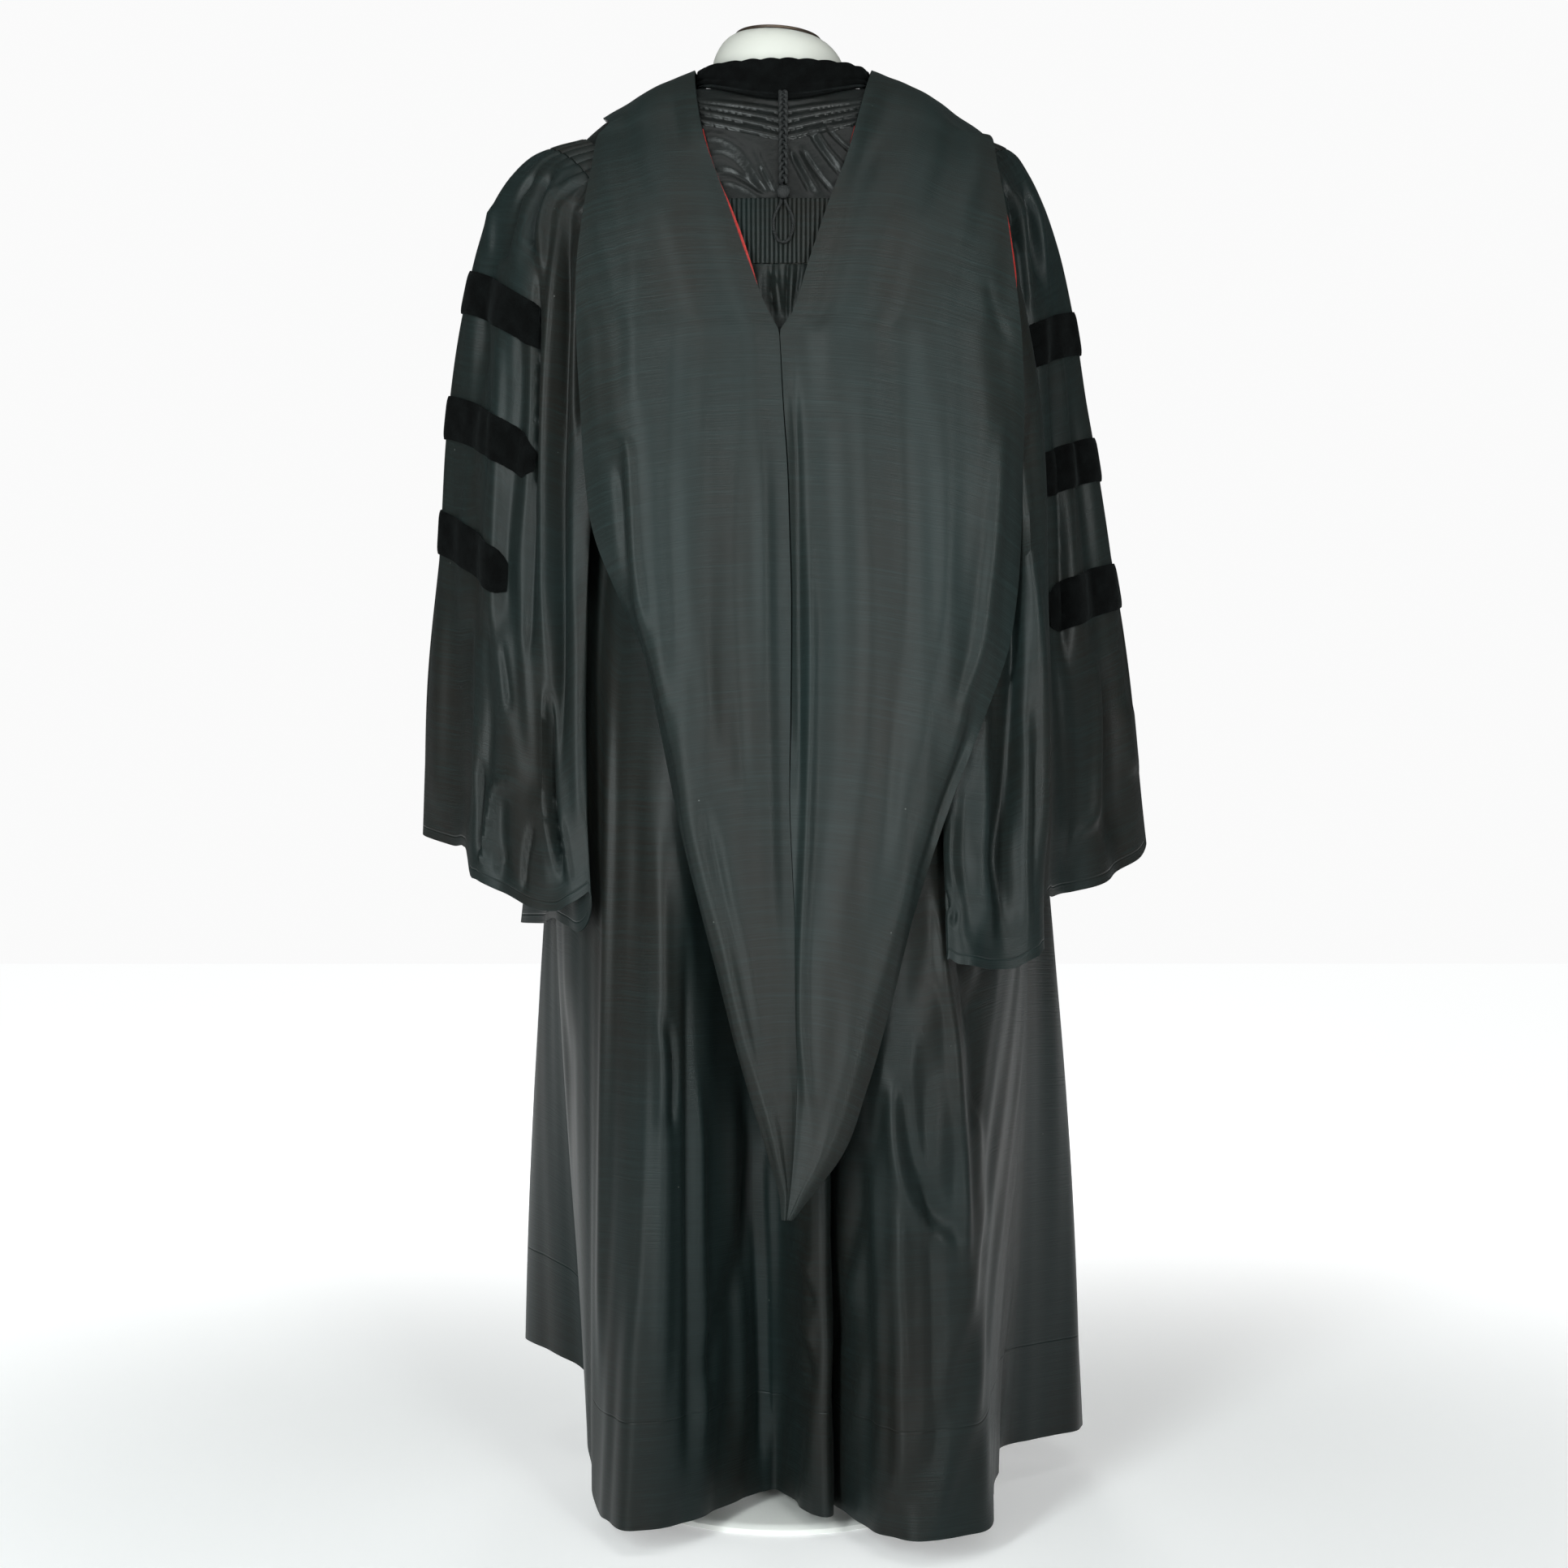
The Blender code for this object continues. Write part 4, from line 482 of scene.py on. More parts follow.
def smooth_radius(angle, z):
    turn = np.radians(angle)
    width = curve(BODY_SECTIONS[:, 0], BODY_SECTIONS[:, 1], z)
    behind = curve(BODY_SECTIONS[:, 0], BODY_SECTIONS[:, 2], z)
    before = curve(BODY_SECTIONS[:, 0], BODY_SECTIONS[:, 3], z)
    depth = np.where(np.cos(turn) > 0, behind, before)
    across = np.abs(np.sin(turn)) / width
    along = np.abs(np.cos(turn)) / depth
    return (across**SECTION_POWER + along**SECTION_POWER) ** (-1 / SECTION_POWER)


def wrapped(angle):
    return (np.asarray(angle, float) + 180.0) % 360.0 - 180.0


def body_radius(angle, z):
    growth = np.clip((FOLDS_START_Z - z) / (FOLDS_START_Z - HEM_BACK_Z), 0.0, 1.0) ** FOLD_GROWTH
    smooth = smooth_radius(angle, z)
    hem = curve(HEM_FOLDS[:, 0], HEM_FOLDS[:, 1], wrapped(angle))
    return smooth + (hem - smooth) * growth


def hem_z(angle):
    return curve(HEM_HEIGHTS[:, 0], HEM_HEIGHTS[:, 1], wrapped(angle))


def armhole_z(angle, sign):
    share = np.clip((np.abs(wrapped(angle)) - 90.0) / ARMHOLE_HALF_ANGLE, -1.0, 1.0)
    return ARMHOLE_Z + sign * ARMHOLE_HALF_HEIGHT * np.sqrt(1 - share * share)


def armhole_angle(z, sign):
    share = (z - ARMHOLE_Z) / ARMHOLE_HALF_HEIGHT
    return 90.0 + sign * ARMHOLE_HALF_ANGLE * np.sqrt(1 - share * share)


YOKE_BACK_ANGLE = float(armhole_angle(YOKE_BACK_Z, -1))
YOKE_FRONT_ANGLE = float(armhole_angle(YOKE_FRONT_Z, 1))
GATHERS_ANGLE = float(armhole_angle(GATHERS_BOTTOM_Z, -1))


def neck_radius(angle):
    turn = np.radians(angle)
    return 1 / np.hypot(np.sin(turn) / NECK_HALF_WIDTH, np.cos(turn) / NECK_HALF_DEPTH)


def neck_z(angle):
    level = np.cos(np.radians(angle))
    return NECK_SIDE_Z - np.where(level > 0, NECK_BACK_DROP, NECK_FRONT_DROP) * level * level


def yoke(angle, share):
    size = np.abs(wrapped(angle))
    edge_z = np.where(size < YOKE_BACK_ANGLE, YOKE_BACK_Z, armhole_z(angle, 1))
    edge_z = np.where(size > YOKE_FRONT_ANGLE, YOKE_FRONT_Z, edge_z)
    near = neck_radius(angle)
    far = smooth_radius(angle, edge_z)
    power = YOKE_FALL + YOKE_FALL_AT_SIDES * np.sin(np.radians(angle)) ** 2
    z = neck_z(angle) + (edge_z - neck_z(angle)) * share**power
    return around(angle, near + (far - near) * share, z)


def yoke_normal(angle, share):
    across = yoke(angle + SURFACE_STEP, share) - yoke(angle - SURFACE_STEP, share)
    down = yoke(angle, np.minimum(share + SURFACE_STEP, 1)) - yoke(angle, share - SURFACE_STEP)
    return unit(np.cross(across, down))


def unit(vectors):
    return vectors / np.maximum(np.linalg.norm(vectors, axis=-1, keepdims=True), 1e-12)


def normals(places, centre=None):
    """Normals of a grid of points, turned away from the centre (by default each row's own)."""
    found = unit(np.cross(np.gradient(places, axis=1), np.gradient(places, axis=0)))
    if centre is None:
        centre = places.mean(axis=1, keepdims=True)
    side = np.sign(np.sum(found * (places - centre)))
    return found * side


def grid(across, down):
    return np.meshgrid(np.asarray(across, float), np.asarray(down, float))


def photo_places(places):
    depth = places[..., 1] + CAMERA_BACK
    return (
        AXIS_X + places[..., 0] * FOCAL / depth,
        HORIZON_Y - (places[..., 2] - CAMERA_Z) * FOCAL / depth,
    )


def line_distance(x, y, points):
    """Distance from each place to a line through points, and the share of the line reached there."""
    best = np.full(x.shape, 1e9)
    share = np.zeros(x.shape)
    smooth = curve(np.linspace(0, 1, len(points)), points, np.linspace(0, 1, 4 * len(points)))
    lengths = np.linalg.norm(np.diff(smooth, axis=0), axis=1)
    done = np.concatenate([[0.0], np.cumsum(lengths)]) / lengths.sum()
    for index, (start, end) in enumerate(zip(smooth, smooth[1:])):
        step = end - start
        t = np.clip(((x - start[0]) * step[0] + (y - start[1]) * step[1]) / (step @ step), 0, 1)
        far = np.hypot(x - start[0] - t * step[0], y - start[1] - t * step[1])
        nearer = far < best
        best = np.where(nearer, far, best)
        share = np.where(nearer, done[index] + t * (done[index + 1] - done[index]), share)
    return best, share


def creased(name, places, outward):
    """The piece with its creases, pressed in or raised where the photograph shows them."""
    x, y = photo_places(places)
    towards = unit(np.array([0.0, -CAMERA_BACK, CAMERA_Z]) - places)
    facing = ease(np.sum(outward * towards, axis=-1) * 4)
    lift = np.zeros(x.shape)
    for width, height, *points in CREASES[name]:
        far, share = line_distance(x, y, np.reshape(points, (-1, 2)).astype(float))
        fade = ease(share / CREASE_FADE) * ease((1 - share) / CREASE_FADE)
        scale = (places[..., 1] + CAMERA_BACK) / FOCAL * 1000
        lift += height / 1000 * fade * np.exp(-((far * scale / width) ** 2))
    return places + outward * (lift * facing)[..., None]


def ripples(across, down, size_across, size_down, seed):
    """Soft uneven waves over a piece, of about unit height."""
    chance = np.random.default_rng(seed)
    total = np.zeros(np.broadcast(across, down).shape)
    for _ in range(RIPPLES):
        a = chance.uniform(0.5, 1.6) / size_across * chance.choice([-1, 1])
        b = chance.uniform(0.3, 1.3) / size_down * chance.choice([-1, 1])
        total += np.sin(2 * math.pi * (across * a + down * b) + chance.uniform(0, 6.28))
    return total / math.sqrt(RIPPLES)


def lengths_along(places, axis):
    steps = np.linalg.norm(np.diff(places, axis=axis), axis=-1)
    return np.concatenate([np.zeros_like(np.take(steps, [0], axis)), np.cumsum(steps, axis)], axis)


def waves(places, sizes, seed):
    """Sum of the ripples in a table over a piece."""
    across = lengths_along(places, 1)
    down = lengths_along(places, 0)
    return sum(height * ripples(across, down, wide, long, seed + more)
               for height, wide, long, more in sizes)


# Materials

LOOKS = {
    "roughness": "Roughness", "metallic": "Metallic", "specular": "Specular IOR Level",
    "sheen": "Sheen Weight", "sheen_roughness": "Sheen Roughness", "sheen_tint": "Sheen Tint",
}
SHEEN_TINT = (0.80, 0.95, 0.95)
LINT_CELLS = 40.0
LINT_SIZE = 0.028
LINT_PATCHES = 21.0
LINT_RARITY = 0.60
HEM_LINE_HALF_WIDTH = 0.0012
HEM_LINE_DEPTH = 0.0004


def join(tree, value, socket):
    """Links a socket to an input, or sets the input's value."""
    if isinstance(value, bpy.types.NodeSocket):
        tree.links.new(value, socket)
    elif isinstance(value, tuple) and len(value) < len(socket.default_value):
        socket.default_value = (*value, 1.0)
    else:
        socket.default_value = value


def node(tree, kind, inputs, **settings):
    """A new shader node with its settings and inputs."""
    made = tree.nodes.new("ShaderNode" + kind)
    for name, setting in settings.items():
        setattr(made, name, setting)
    for key, value in inputs.items():
        join(tree, value, made.inputs[key])
    return made


class Finish:
    """A material whose pattern is put together step by step."""

    def __init__(self, name, place, **looks):
        self.material = bpy.data.materials.new(name)
        self.material.use_nodes = True
        self.tree = self.material.node_tree
        self.shader = self.tree.nodes["Principled BSDF"]
        for key, value in looks.items():
            join(self.tree, value, self.shader.inputs[LOOKS[key]])
        self.place = self.tree.nodes.new("ShaderNodeTexCoord").outputs[place]
        self.relief = None

    def add(self, kind, inputs, **settings):
        return node(self.tree, kind, inputs, **settings).outputs

    def maths(self, operation, *values):
        return self.add("Math", dict(enumerate(values)), operation=operation)[0]

    def noise(self, across, down, detail=3.0, roughness=0.55):
        """Noise with so many waves to the metre across and down the cloth."""
        mapping = self.add("Mapping", {"Scale": (across, down, 1.0), "Vector": self.place})[0]
        inputs = {"Scale": 1.0, "Detail": detail, "Roughness": roughness, "Vector": mapping}
        return self.add("TexNoise", inputs)[0]

    def spread(self, value, low, high, start=0.0, end=1.0):
        return self.add("MapRange", dict(enumerate((value, low, high, start, end))))[0]

    def mix(self, share, first, second):
        return self.add("Mix", {0: share, 6: first, 7: second}, data_type="RGBA")[2]

    def raise_by(self, value, height):
        step = self.maths("MULTIPLY", value, height)
        self.relief = step if self.relief is None else self.maths("ADD", self.relief, step)

    def groove_at(self, level, half_width, depth):
        """A sewn line at a height above the piece's lower edge, in metres."""
        height = self.add("SeparateXYZ", {0: self.place})[1]
        off = self.maths("ABSOLUTE", self.maths("SUBTRACT", height, level))
        self.raise_by(self.spread(off, 0.0, half_width, -1.0, 0.0), depth)

    def dusted(self, colour, amount, tint):
        """Specks of lint, here and there."""
        cells = self.add("TexVoronoi", {"Scale": LINT_CELLS, "Vector": self.place})[0]
        near = self.maths("LESS_THAN", cells, LINT_SIZE)
        rare = self.maths("GREATER_THAN", self.noise(LINT_PATCHES, LINT_PATCHES, 0.0), LINT_RARITY)
        share = self.maths("MULTIPLY", self.maths("MULTIPLY", near, rare), amount)
        return self.mix(share, colour, tint)

    def done(self, colour, strength=1.0, distance=1.0):
        join(self.tree, colour, self.shader.inputs["Base Color"])
        if self.relief is not None:
            inputs = {"Strength": strength, "Distance": distance, "Height": self.relief}
            join(self.tree, self.add("Bump", inputs)[0], self.shader.inputs["Normal"])
        return self.material


def fabric(name, roughness, sheen, specular, sheen_roughness=0.4):
    return Finish(name, "UV", roughness=roughness, sheen=sheen, sheen_roughness=sheen_roughness,
                  sheen_tint=SHEEN_TINT, specular=specular)


def taffeta(name, green, brown, roughness=0.43, slub=0.00007, line=None):
    """Black shot cloth: soft bands of green and brown black, crosswise slubs and fine threads."""
    weave = fabric(name, roughness, 0.015, 0.17)
    bands = weave.maths("ADD", weave.noise(11.0, 1.2, 3.0), weave.noise(5.0, 2.4, 2.0))
    colour = weave.mix(weave.spread(bands, 0.84, 1.16), brown, green)
    slubs = weave.noise(14.0, 620.0, 4.0, 0.65)
    ribs = weave.noise(7.0, 210.0, 2.0, 0.6)
    for threads, low, high, most, paler in ((slubs, 0.50, 0.80, 0.8, 1.7), (ribs, 0.48, 0.74, 0.5, 1.5)):
        pale = tuple(value * paler for value in green)
        colour = weave.mix(weave.spread(threads, low, high, 0.0, most), colour, pale)
    weave.raise_by(slubs, slub * 4)
    weave.raise_by(weave.noise(1300.0, 1300.0, 1.0), slub * 0.6)
    if line is not None:
        weave.groove_at(line, HEM_LINE_HALF_WIDTH, HEM_LINE_DEPTH)
    return weave.done(weave.dusted(colour, 0.5, (0.16, 0.17, 0.16)))


def satin(name, colour, shade):
    weave = fabric(name, 0.32, 0.01, 0.20)
    mixed = weave.mix(weave.spread(weave.noise(30.0, 12.0), 0.35, 0.65), shade, colour)
    weave.raise_by(weave.noise(40.0, 1100.0, 3.0), 0.00008)
    weave.raise_by(weave.noise(90.0, 90.0, 2.0), 0.0006)
    return weave.done(weave.dusted(mixed, 0.5, (0.20, 0.20, 0.18)))


def velvet(name, colour, shade):
    """Velvet: a deep pile that is dark where it faces the light and crushed here and there."""
    weave = fabric(name, 0.95, 0.03, 0.05, 0.30)
    mixed = weave.mix(weave.spread(weave.noise(60.0, 60.0, 4.0), 0.40, 0.68), shade, colour)
    weave.raise_by(weave.noise(700.0, 700.0, 4.0, 0.7), 0.0007)
    weave.raise_by(weave.noise(45.0, 45.0, 2.0), 0.0020)
    return weave.done(weave.dusted(mixed, 0.25, (0.10, 0.10, 0.09)))


def corded(name, colour, shade):
    weave = fabric(name, 0.42, 0.02, 0.35)
    mixed = weave.mix(weave.spread(weave.noise(300.0, 300.0, 2.0), 0.40, 0.62), shade, colour)
    weave.raise_by(weave.noise(900.0, 900.0, 3.0), 0.0004)
    return weave.done(mixed)


def solid_finish(name, colour, shade, roughness, metallic=0.0, scale=30.0, bump=0.0):
    """A painted, plastic or metal finish with a soft mottle and a fine uneven surface."""
    finish = Finish(name, "Object", metallic=metallic)
    cloud = finish.add("TexNoise", {"Scale": scale, "Detail": 4.0, "Vector": finish.place})[0]
    mixed = finish.mix(cloud, shade, colour)
    rough = finish.spread(cloud, 0.0, 1.0, roughness - 0.06, roughness + 0.06)
    join(finish.tree, rough, finish.shader.inputs["Roughness"])
    if bump:
        finish.relief = finish.add("TexNoise", {"Scale": scale * 14, "Vector": finish.place})[0]
    return finish.done(mixed, bump, 0.001)


GREEN_BLACK = (0.0066, 0.0116, 0.0113)
BROWN_BLACK = (0.0092, 0.0090, 0.0077)
FAILLE_GREEN = (0.0086, 0.0148, 0.0144)
FAILLE_BROWN = (0.0106, 0.0112, 0.0098)

# Height of each sewn hem line above the piece's lower edge
SKIRT_HEM_LINE = 0.097
SLEEVE_HEM_LINE = 0.009

FINISHES = {
    "black_cloth": taffeta("black_cloth", GREEN_BLACK, BROWN_BLACK, line=SKIRT_HEM_LINE),
    "black_sleeve": taffeta("black_sleeve", GREEN_BLACK, BROWN_BLACK, line=SLEEVE_HEM_LINE),
    "black_faille": taffeta("black_faille", FAILLE_GREEN, FAILLE_BROWN, 0.44, 0.00008),
    "black_satin": satin("black_satin", (0.0075, 0.0090, 0.0086), (0.0050, 0.0056, 0.0052)),
    "black_velvet": velvet("black_velvet", (0.0028, 0.0034, 0.0034), (0.0014, 0.0016, 0.0016)),
    "black_braid": corded("black_braid", (0.0120, 0.0135, 0.0135), (0.0060, 0.0066, 0.0066)),
    "red_lining": corded("red_lining", (0.36, 0.014, 0.009), (0.26, 0.010, 0.007)),
    "form_white": solid_finish("form_white", (0.465, 0.465, 0.425), (0.435, 0.435, 0.40), 0.60, bump=0.15),
    "cap_metal": solid_finish("cap_metal", (0.10, 0.07, 0.05), (0.03, 0.025, 0.022), 0.40, 0.8, 90.0, 0.3),
    "stand_white": solid_finish("stand_white", (0.82, 0.82, 0.79), (0.76, 0.76, 0.73), 0.42, bump=0.1),
}


# Making and placing pieces

LEAST_AREA_SHARE = 0.31


def only(piece):
    bpy.ops.object.select_all(action="DESELECT")
    piece.select_set(True)
    bpy.context.view_layer.objects.active = piece


def placed(piece, name, finish, stands_for):
    piece.name = name
    piece.data.name = name
    piece.data.materials.clear()
    piece.data.materials.append(FINISHES[finish])
    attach(piece, "root")
    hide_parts(stands_for)
    return piece


def weld(threshold, outward=False):
    bpy.ops.object.mode_set(mode="EDIT")
    bpy.ops.mesh.select_all(action="SELECT")
    bpy.ops.mesh.remove_doubles(threshold=threshold)
    if outward:
        bpy.ops.mesh.select_all(action="SELECT")
        bpy.ops.mesh.normals_make_consistent(inside=False)
    bpy.ops.object.mode_set(mode="OBJECT")


def soft_shading(degrees):
    bpy.ops.object.shade_smooth_by_angle(angle=math.radians(degrees))


def laid_grid(places):
    """A mesh grid laid over the points."""
    rows, columns = places.shape[:2]
    bpy.ops.object.select_all(action="DESELECT")
    bpy.ops.mesh.primitive_grid_add(x_subdivisions=columns - 1, y_subdivisions=rows - 1, size=1.0)
    piece = bpy.context.object
    piece.data.vertices.foreach_set("co", np.ascontiguousarray(places, np.float32).ravel())
    return piece


def cloth(solid, kind, places, wall, finish, closed=False):
    """A sewn piece in place of a solid: a grid over the points, with its wall; the size of its cut is
    worked out but not kept.

    Its UV map is in metres.
    """
    piece = laid_grid(places)
    mesh = piece.data
    across = lengths_along(places, 1)
    width = across[:, -1].max()
    across -= across[:, places.shape[1] // 2][:, None]
    down = lengths_along(places, 0)
    length = down[-1].max()
    up = down[-1:] - down
    corners = np.empty(len(mesh.loops), np.int32)
    mesh.loops.foreach_get("vertex_index", corners)
    flat = np.stack([across.ravel()[corners], up.ravel()[corners]], -1)
    mesh.uv_layers[0].data.foreach_set("uv", flat.astype(np.float32).ravel())
    mesh.update()
    if closed:
        weld(1e-5)
    shell = piece.modifiers.new("Wall", "SOLIDIFY")
    shell.thickness = wall
    shell.offset = 0.0
    bpy.ops.object.modifier_apply(modifier=shell.name)
    soft_shading(70)
    placed(piece, solid + "_" + kind, finish, solid)
    a, b = places[1:, :-1] - places[:-1, :-1], places[:-1, 1:] - places[:-1, :-1]
    c, d = places[1:, 1:] - places[:-1, 1:], places[1:, 1:] - places[1:, :-1]
    area = 0.5 * (np.linalg.norm(np.cross(a, b), axis=-1) + np.linalg.norm(np.cross(c, d), axis=-1)).sum()
    area = min(max(area, LEAST_AREA_SHARE * width * length), width * length)


def evenly(angles, z, count):
    """Angles spaced evenly along the cloth at a height, counted between the first and last given."""
    fine = np.linspace(angles[0], angles[-1], 2000)
    places = around(fine, body_radius(fine, z), np.full_like(fine, z))
    done = np.concatenate([[0.0], np.cumsum(np.linalg.norm(np.diff(places, axis=0), axis=1))])
    return np.interp(np.linspace(0, done[-1], count), done, fine)


# Gown

def panel(angle, v, top):
    start = top(angle)
    z = start + (hem_z(angle) - start) * v
    return around(angle, body_radius(angle, z), z)


def back_top(angle):
    return np.where(np.abs(angle) < GATHERS_ANGLE, GATHERS_BOTTOM_Z, armhole_z(angle, -1)) - SEAM


def front_top(angle):
    size = np.abs(wrapped(angle))
    return np.where(size > YOKE_FRONT_ANGLE, YOKE_FRONT_Z - SEAM, armhole_z(angle, -1)) - SEAM


def hanging_waves(places, outward, seed):
    """Long soft waves down a hanging piece, growing away from its top edge."""
    grown = ease(lengths_along(places, 0) / WAVES_START)
    return places + outward * (waves(places, HANGING_WAVES, seed) * grown * HANGING_WAVE)[..., None]


def make_back():
    edge = 90.0 - SIDE_SEAM_ANGLE
    columns, rows = BACK_GRID
    angle, v = grid(evenly([-edge, edge], EVEN_AT_Z, columns), np.linspace(0, 1, rows) ** 1.1)
    places = panel(angle, v, back_top)
    outward = normals(places, BODY_CENTRE)
    moved = creased("gown_back", hanging_waves(places, outward, BACK_SEED), outward)
    places = places + (moved - places) * ease((edge - np.abs(angle)) / SIDE_FADE)[..., None]
    cloth("gown_back", "cloth", places, CLOTH, "black_cloth")


def make_fronts():
    columns, rows = FRONT_GRID
    for side, name in ((-1, "left"), (1, "right")):
        ends = [90.0 + SIDE_SEAM_ANGLE, 180.0 - SIDE_SEAM_ANGLE]
        angle, v = grid(side * evenly(ends, EVEN_AT_Z, columns), np.linspace(0, 1, rows))
        places = panel(angle, v, front_top)
        outward = normals(places, BODY_CENTRE)
        clear = ease((FACING_ANGLE - 3.0 - np.abs(angle)) / 12.0) * ease((np.abs(angle) - 90.0) / SIDE_FADE)
        waved = hanging_waves(places, outward, FRONT_SEED + side)
        places = places + (waved - places) * clear[..., None]
        cloth("gown_front_" + name, "cloth", places, CLOTH, "black_cloth")
        angle, v = grid(side * np.linspace(FACING_ANGLE, ends[1], FACING_COLUMNS), np.linspace(0, 1, rows))
        band = panel(angle, v, front_top)
        band = band + normals(band, BODY_CENTRE) * (CLOTH / 2 + GAP + VELVET / 2)
        cloth("velvet_facing_" + name, "pile", band, VELVET, "black_velvet")


def fluted(count, share):
    fade = ease(np.minimum(share, 1 - share) * count / 3)
    return FLUTE_HEIGHT * fade * np.abs(np.sin(math.pi * share * count)) ** FLUTE_SHARPNESS


def make_gathers():
    share, v = grid(np.linspace(0, 1, BACK_FLUTES * FLUTE_STEPS + 1), np.linspace(0, 1, GATHERS_ROWS))
    z = YOKE_BACK_Z - SEAM + (GATHERS_BOTTOM_Z - YOKE_BACK_Z + 2 * SEAM) * v
    angle = (armhole_angle(z, -1) - 0.2) * (2 * share - 1)
    drift = 0.0012 * ripples(share * 0.6, v * 0.06, 0.05, 0.2, GATHERS_SEED)
    height = fluted(BACK_FLUTES, np.clip(share + drift * np.sin(math.pi * v), 0, 1))
    places = around(angle, smooth_radius(angle, z) + height, z)
    cloth("gown_back_gathers", "cloth", places, CLOTH, "black_cloth")


def make_yoke():
    middle = np.linspace(-60, 60, YOKE_MIDDLE_COLUMNS)[:-1]
    left = np.linspace(-180, -60, YOKE_SIDE_COLUMNS)[:-1]
    right = np.linspace(60, 180, YOKE_SIDE_COLUMNS)
    corners = [YOKE_FRONT_ANGLE - YOKE_CORNER, YOKE_FRONT_ANGLE + YOKE_CORNER]
    angles = np.sort(np.concatenate([left, middle, right, corners, np.negative(corners)]))
    angle, share = grid(angles, np.linspace(0, 1, YOKE_ROWS) ** YOKE_ROW_POWER)
    places = yoke(angle, share)
    places[..., 2] += SEAM * ease((share - 0.9) / 0.1)
    outward = normals(places, YOKE_CENTRE)
    x, z = places[..., 0], places[..., 2]
    size = np.abs(wrapped(angle))
    lift = np.zeros_like(x)
    for level, slope in TUCK_LINES:
        over = z - (level + slope * np.abs(x))
        shape = ease((over + TUCK_START) / TUCK_START_FADE) * ease((TUCK_END - over) / TUCK_END_FADE)
        lift += TUCK_RISE * shape
    places = creased("gown_yoke", places, outward)
    places = places + outward * (lift * ease((TUCKS_END_ANGLE - size) / TUCKS_FADE))[..., None]
    lap = ease((share - YOKE_LAP_START) / YOKE_LAP_FADE) * (size > YOKE_FRONT_ANGLE)
    at_facings = ease((size - (FACING_ANGLE - 3.0)) / 3.0)
    out = YOKE_LAP_OUT + (YOKE_LAP_OUT_AT_FACINGS - YOKE_LAP_OUT) * at_facings
    places = places + outward * (lap * out)[..., None]
    places[..., 2] -= YOKE_LAP * lap
    places[:, -1] = places[:, 0]
    cloth("gown_yoke", "satin", places, CLOTH, "black_satin", closed=True)


def make_neckband():
    columns, rows = NECKBAND_GRID
    angle, v = grid(np.linspace(-180, 180, columns), np.linspace(-NECKBAND_UNDER, 1, rows))
    level = np.cos(np.radians(angle))
    aside = np.sin(np.radians(angle)) ** 4
    lift = CLOTH / 2 + GAP + VELVET / 2 + NECKBAND_EXTRA
    top = NECKBAND_TOP_Z - NECKBAND_FRONT_DROP * np.minimum(level, 0.0) ** 2 + 0.003 * aside
    bottom = neck_z(angle) + lift + NECKBAND_SIDE_RISE * aside
    lean = NECKBAND_LEAN + NECKBAND_BACK_LEAN * np.maximum(level, 0.0) ** 2 - 0.001 * aside
    up = np.maximum(v, 0.0)
    scallop = np.abs(np.sin(np.radians(angle) * NECKBAND_SCALLOPS + 0.6))
    scallop = NECKBAND_SCALLOP * scallop * ease(up * 1.4 - 0.4) * ease(level * 2)
    radius = neck_radius(angle) + NECKBAND_SIDE_OUT * aside - lean * up
    band = around(angle, radius, bottom + (top - bottom) * up + scallop)
    lap = NECKBAND_LAP * (0.25 + 0.75 * ease(level + 0.2)) * np.clip(-v / NECKBAND_UNDER, 0, 1)
    rise = 0.6 * lift + NECKBAND_SIDE_RISE * aside * (1 + np.minimum(v, 0.0) / NECKBAND_UNDER)
    raised = [rise * np.sin(np.radians(angle)), -rise * level, lift + rise - 0.6 * lift]
    under = yoke(angle, lap) + np.stack(raised, -1)
    places = np.where((v >= 0)[..., None], band, under)
    uneven = ripples(angle / 360 * 0.5, v * 0.03, 0.03, 0.03, NECKBAND_SEED)
    seam = -0.0010 * np.exp(-(((v - 0.30) / 0.07) ** 2))
    rise = 0.0005 * uneven * ease(np.abs(v) * 3) + seam
    places = places + normals(places, NECK_CENTRE) * rise[..., None]
    places[:, -1] = places[:, 0]
    cloth("velvet_neckband", "pile", places, VELVET + 2 * NECKBAND_EXTRA, "black_velvet", closed=True)


# Sleeves

def station(share, column):
    return curve(SLEEVE_STATIONS[:, 0], SLEEVE_STATIONS[:, column], share)


def inner_radius(angle, z, share):
    widest = np.max([body_radius(angle + near, z) for near in (-8.0, -4.0, 0.0, 4.0, 8.0)], axis=0)
    grown = ease(share / 0.25)
    return (body_radius(angle, z) + ARMHOLE_LAP) * (1 - grown) + (widest + SLEEVE_CLEARANCE) * grown


